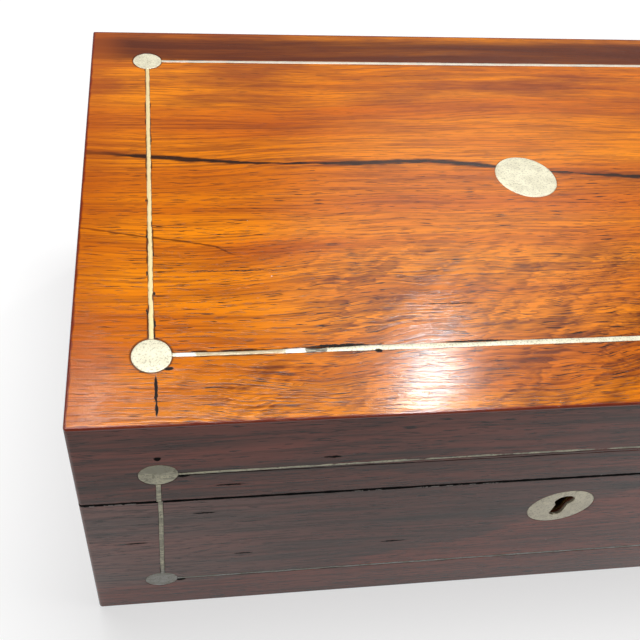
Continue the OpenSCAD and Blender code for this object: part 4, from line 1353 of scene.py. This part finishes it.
# The solved camera: its place, the directions of its right, its top and its view, and its lens
CAMERA_PLACE = (-0.14992, -0.223235, 0.330815)
CAMERA_RIGHT = (0.99276, -0.09678, 0.07109)
CAMERA_UP = (0.02383, 0.73903, 0.67325)
CAMERA_AHEAD = (0.11769, 0.66669, -0.73599)
LENS = {"lens": 42.09, "sensor_width": 36, "shift_x": 0.1140, "shift_y": -0.0655}
FLOOR_REACH = 4
# Place, aim, width and length of each lamp
LAMPS = {"overhead": ((0.12, 0.30, 2.1), (0.0, 0.0, 0.1), 1.5, 0.9),
         "window": ((0.430, 0.647, 1.274), (-0.064, -0.0989, 0.142), 0.078, 0.15),
         "corner": ((-0.324, 0.672, 1.358), (-0.173, -0.103, 0.142), 0.03, 0.05)}
# Direction of the pale glow that the polished top mirrors behind the window lamp
GLOW_AHEAD = (0.355, 0.622, 0.698)


def area_lamp(name, power, place, target, width, length):
    lamp = bpy.data.lights.new(name, "AREA")
    lamp.energy = power
    lamp.shape = "RECTANGLE"
    lamp.size = width
    lamp.size_y = length
    obj = bpy.data.objects.new(name, lamp)
    obj.location = place
    aim = Vector(target) - Vector(place)
    obj.rotation_euler = aim.to_track_quat("-Z", "Y").to_euler()
    bpy.context.scene.collection.objects.link(obj)


class BuildStage(bpy.types.Operator):
    """Pale floor, soft lamps, white surroundings and the camera"""

    bl_idname = "slope.build_stage"
    bl_label = "Stage"

    def execute(self, context):
        context.scene.view_settings.view_transform = "Standard"
        light = context.scene.slope_light
        camera = bpy.data.objects.new("camera", bpy.data.cameras.new("camera"))
        turn = Matrix((CAMERA_RIGHT, CAMERA_UP, [-a for a in CAMERA_AHEAD])).transposed()
        camera.matrix_world = Matrix.Translation(CAMERA_PLACE) @ turn.to_4x4()
        for key, value in LENS.items():
            setattr(camera.data, key, value)
        context.scene.collection.objects.link(camera)
        context.scene.camera = camera

        span = np.array([(-1, -1), (1, -1), (1, 1), (-1, 1)]) * FLOOR_REACH
        points = np.column_stack([span, np.full(4, -0.05 * MM)])
        mesh = bpy.data.meshes.new("floor")
        mesh.from_pydata(points.tolist(), [], [(0, 1, 2, 3)])
        floor = bpy.data.objects.new("floor", mesh)
        context.scene.collection.objects.link(floor)
        mesh.materials.append(floor_material(light.floor))

        for name, lamp in LAMPS.items():
            area_lamp(f"{name}_lamp", getattr(light, name), *lamp)
        surroundings(light.ambient)
        return {"FINISHED"}


def empty_wiring(holder):
    """The wiring of a material's or world's own tree, cleared"""
    holder.use_nodes = True
    holder.node_tree.nodes.clear()
    return Wiring(holder.node_tree)


def floor_material(brightness):
    """Matt floor that reads as white to the camera and in reflections, and keeps its shadow.
    Far from the case, where the lamps fade, it glows up to white"""
    material = bpy.data.materials.new("floor")
    wire = empty_wiring(material)
    ray = wire.read("LightPath")
    seen = either([ray[f"Is {kind} Ray"] for kind in ("Camera", "Glossy", "Transmission")])
    matt = wire.first("BsdfDiffuse", {"Color": (brightness, brightness, brightness)})
    place = wire.read("TexCoord")["Object"]
    reach = wire.read("VectorMath", (place,), operation="LENGTH")["Value"]
    white = reach.span(0.5, 2.2, 1 - brightness, 1)
    glow = wire.first("Emission", {"Strength": seen * white})
    wire.add("OutputMaterial", (wire.first("AddShader", (matt, glow)),))
    return material


def surroundings(ambient):
    """World: white to the camera, white low down and dim high up in reflections, and an even
    grey as light"""
    world = bpy.data.worlds.new("surroundings")
    bpy.context.scene.world = world
    wire = empty_wiring(world)
    ray = wire.read("LightPath")
    ahead = wire.read("TexCoord")["Generated"]
    height = wire.parts(ahead)[2]
    sky = height.span(0.1, 0.42, 0.9, 0.29).least(height.span(0.5, 0.68, 0.29, 0.05))
    facing = wire.read("VectorMath", (ahead, GLOW_AHEAD), operation="DOT_PRODUCT")["Value"]
    mirrored = sky + facing.span(0.965, 0.998, 0, 1.2)
    shiny = ray["Is Glossy Ray"].most(ray["Is Transmission Ray"])
    strength = wire.first("Mix", {0: shiny, 2: ambient, 3: mirrored}, data_type="FLOAT")
    back = wire.first("Background", {"Color": (1, 1, 1),
                                     "Strength": strength.most(ray["Is Camera Ray"])})
    wire.add("OutputWorld", (back,))


STEPS = (BuildStage, BuildCarcass, BuildVeneers, BuildStringing, BuildDiscs, BuildEscutcheon,
         BuildHinges, BuildLock, BuildPenWell, BuildInk, BuildFlaps, BuildLinings)
SETTINGS = {"slope_sizes": SlopeSizes, "slope_colours": SlopeColours, "slope_light": SlopeLight}


class SlopePanel(bpy.types.Panel):
    """Sidebar panel with the sizes, colours and light, and a button for each group"""

    bl_idname = "VIEW3D_PT_writing_slope"
    bl_label = "Writing Slope"
    bl_space_type = "VIEW_3D"
    bl_region_type = "UI"
    bl_category = "Writing Slope"

    def draw(self, context):
        column = self.layout.column(align=True)
        for step in STEPS:
            column.operator(step.bl_idname)
        for name, kind in SETTINGS.items():
            box = self.layout.box()
            for key in kind.__annotations__:
                box.prop(getattr(context.scene, name), key)


def register():
    for kind in (*SETTINGS.values(), *STEPS, SlopePanel):
        bpy.utils.register_class(kind)
    for name, kind in SETTINGS.items():
        setattr(bpy.types.Scene, name, PointerProperty(type=kind))


def unregister():
    for name in SETTINGS:
        delattr(bpy.types.Scene, name)
    for kind in (SlopePanel, *reversed(STEPS), *SETTINGS.values()):
        bpy.utils.unregister_class(kind)


def main():
    """Builds every group in order"""
    register()
    for step in STEPS:
        area, action = step.bl_idname.split(".")
        getattr(getattr(bpy.ops, area), action)()


if __name__ == "__main__":
    main()
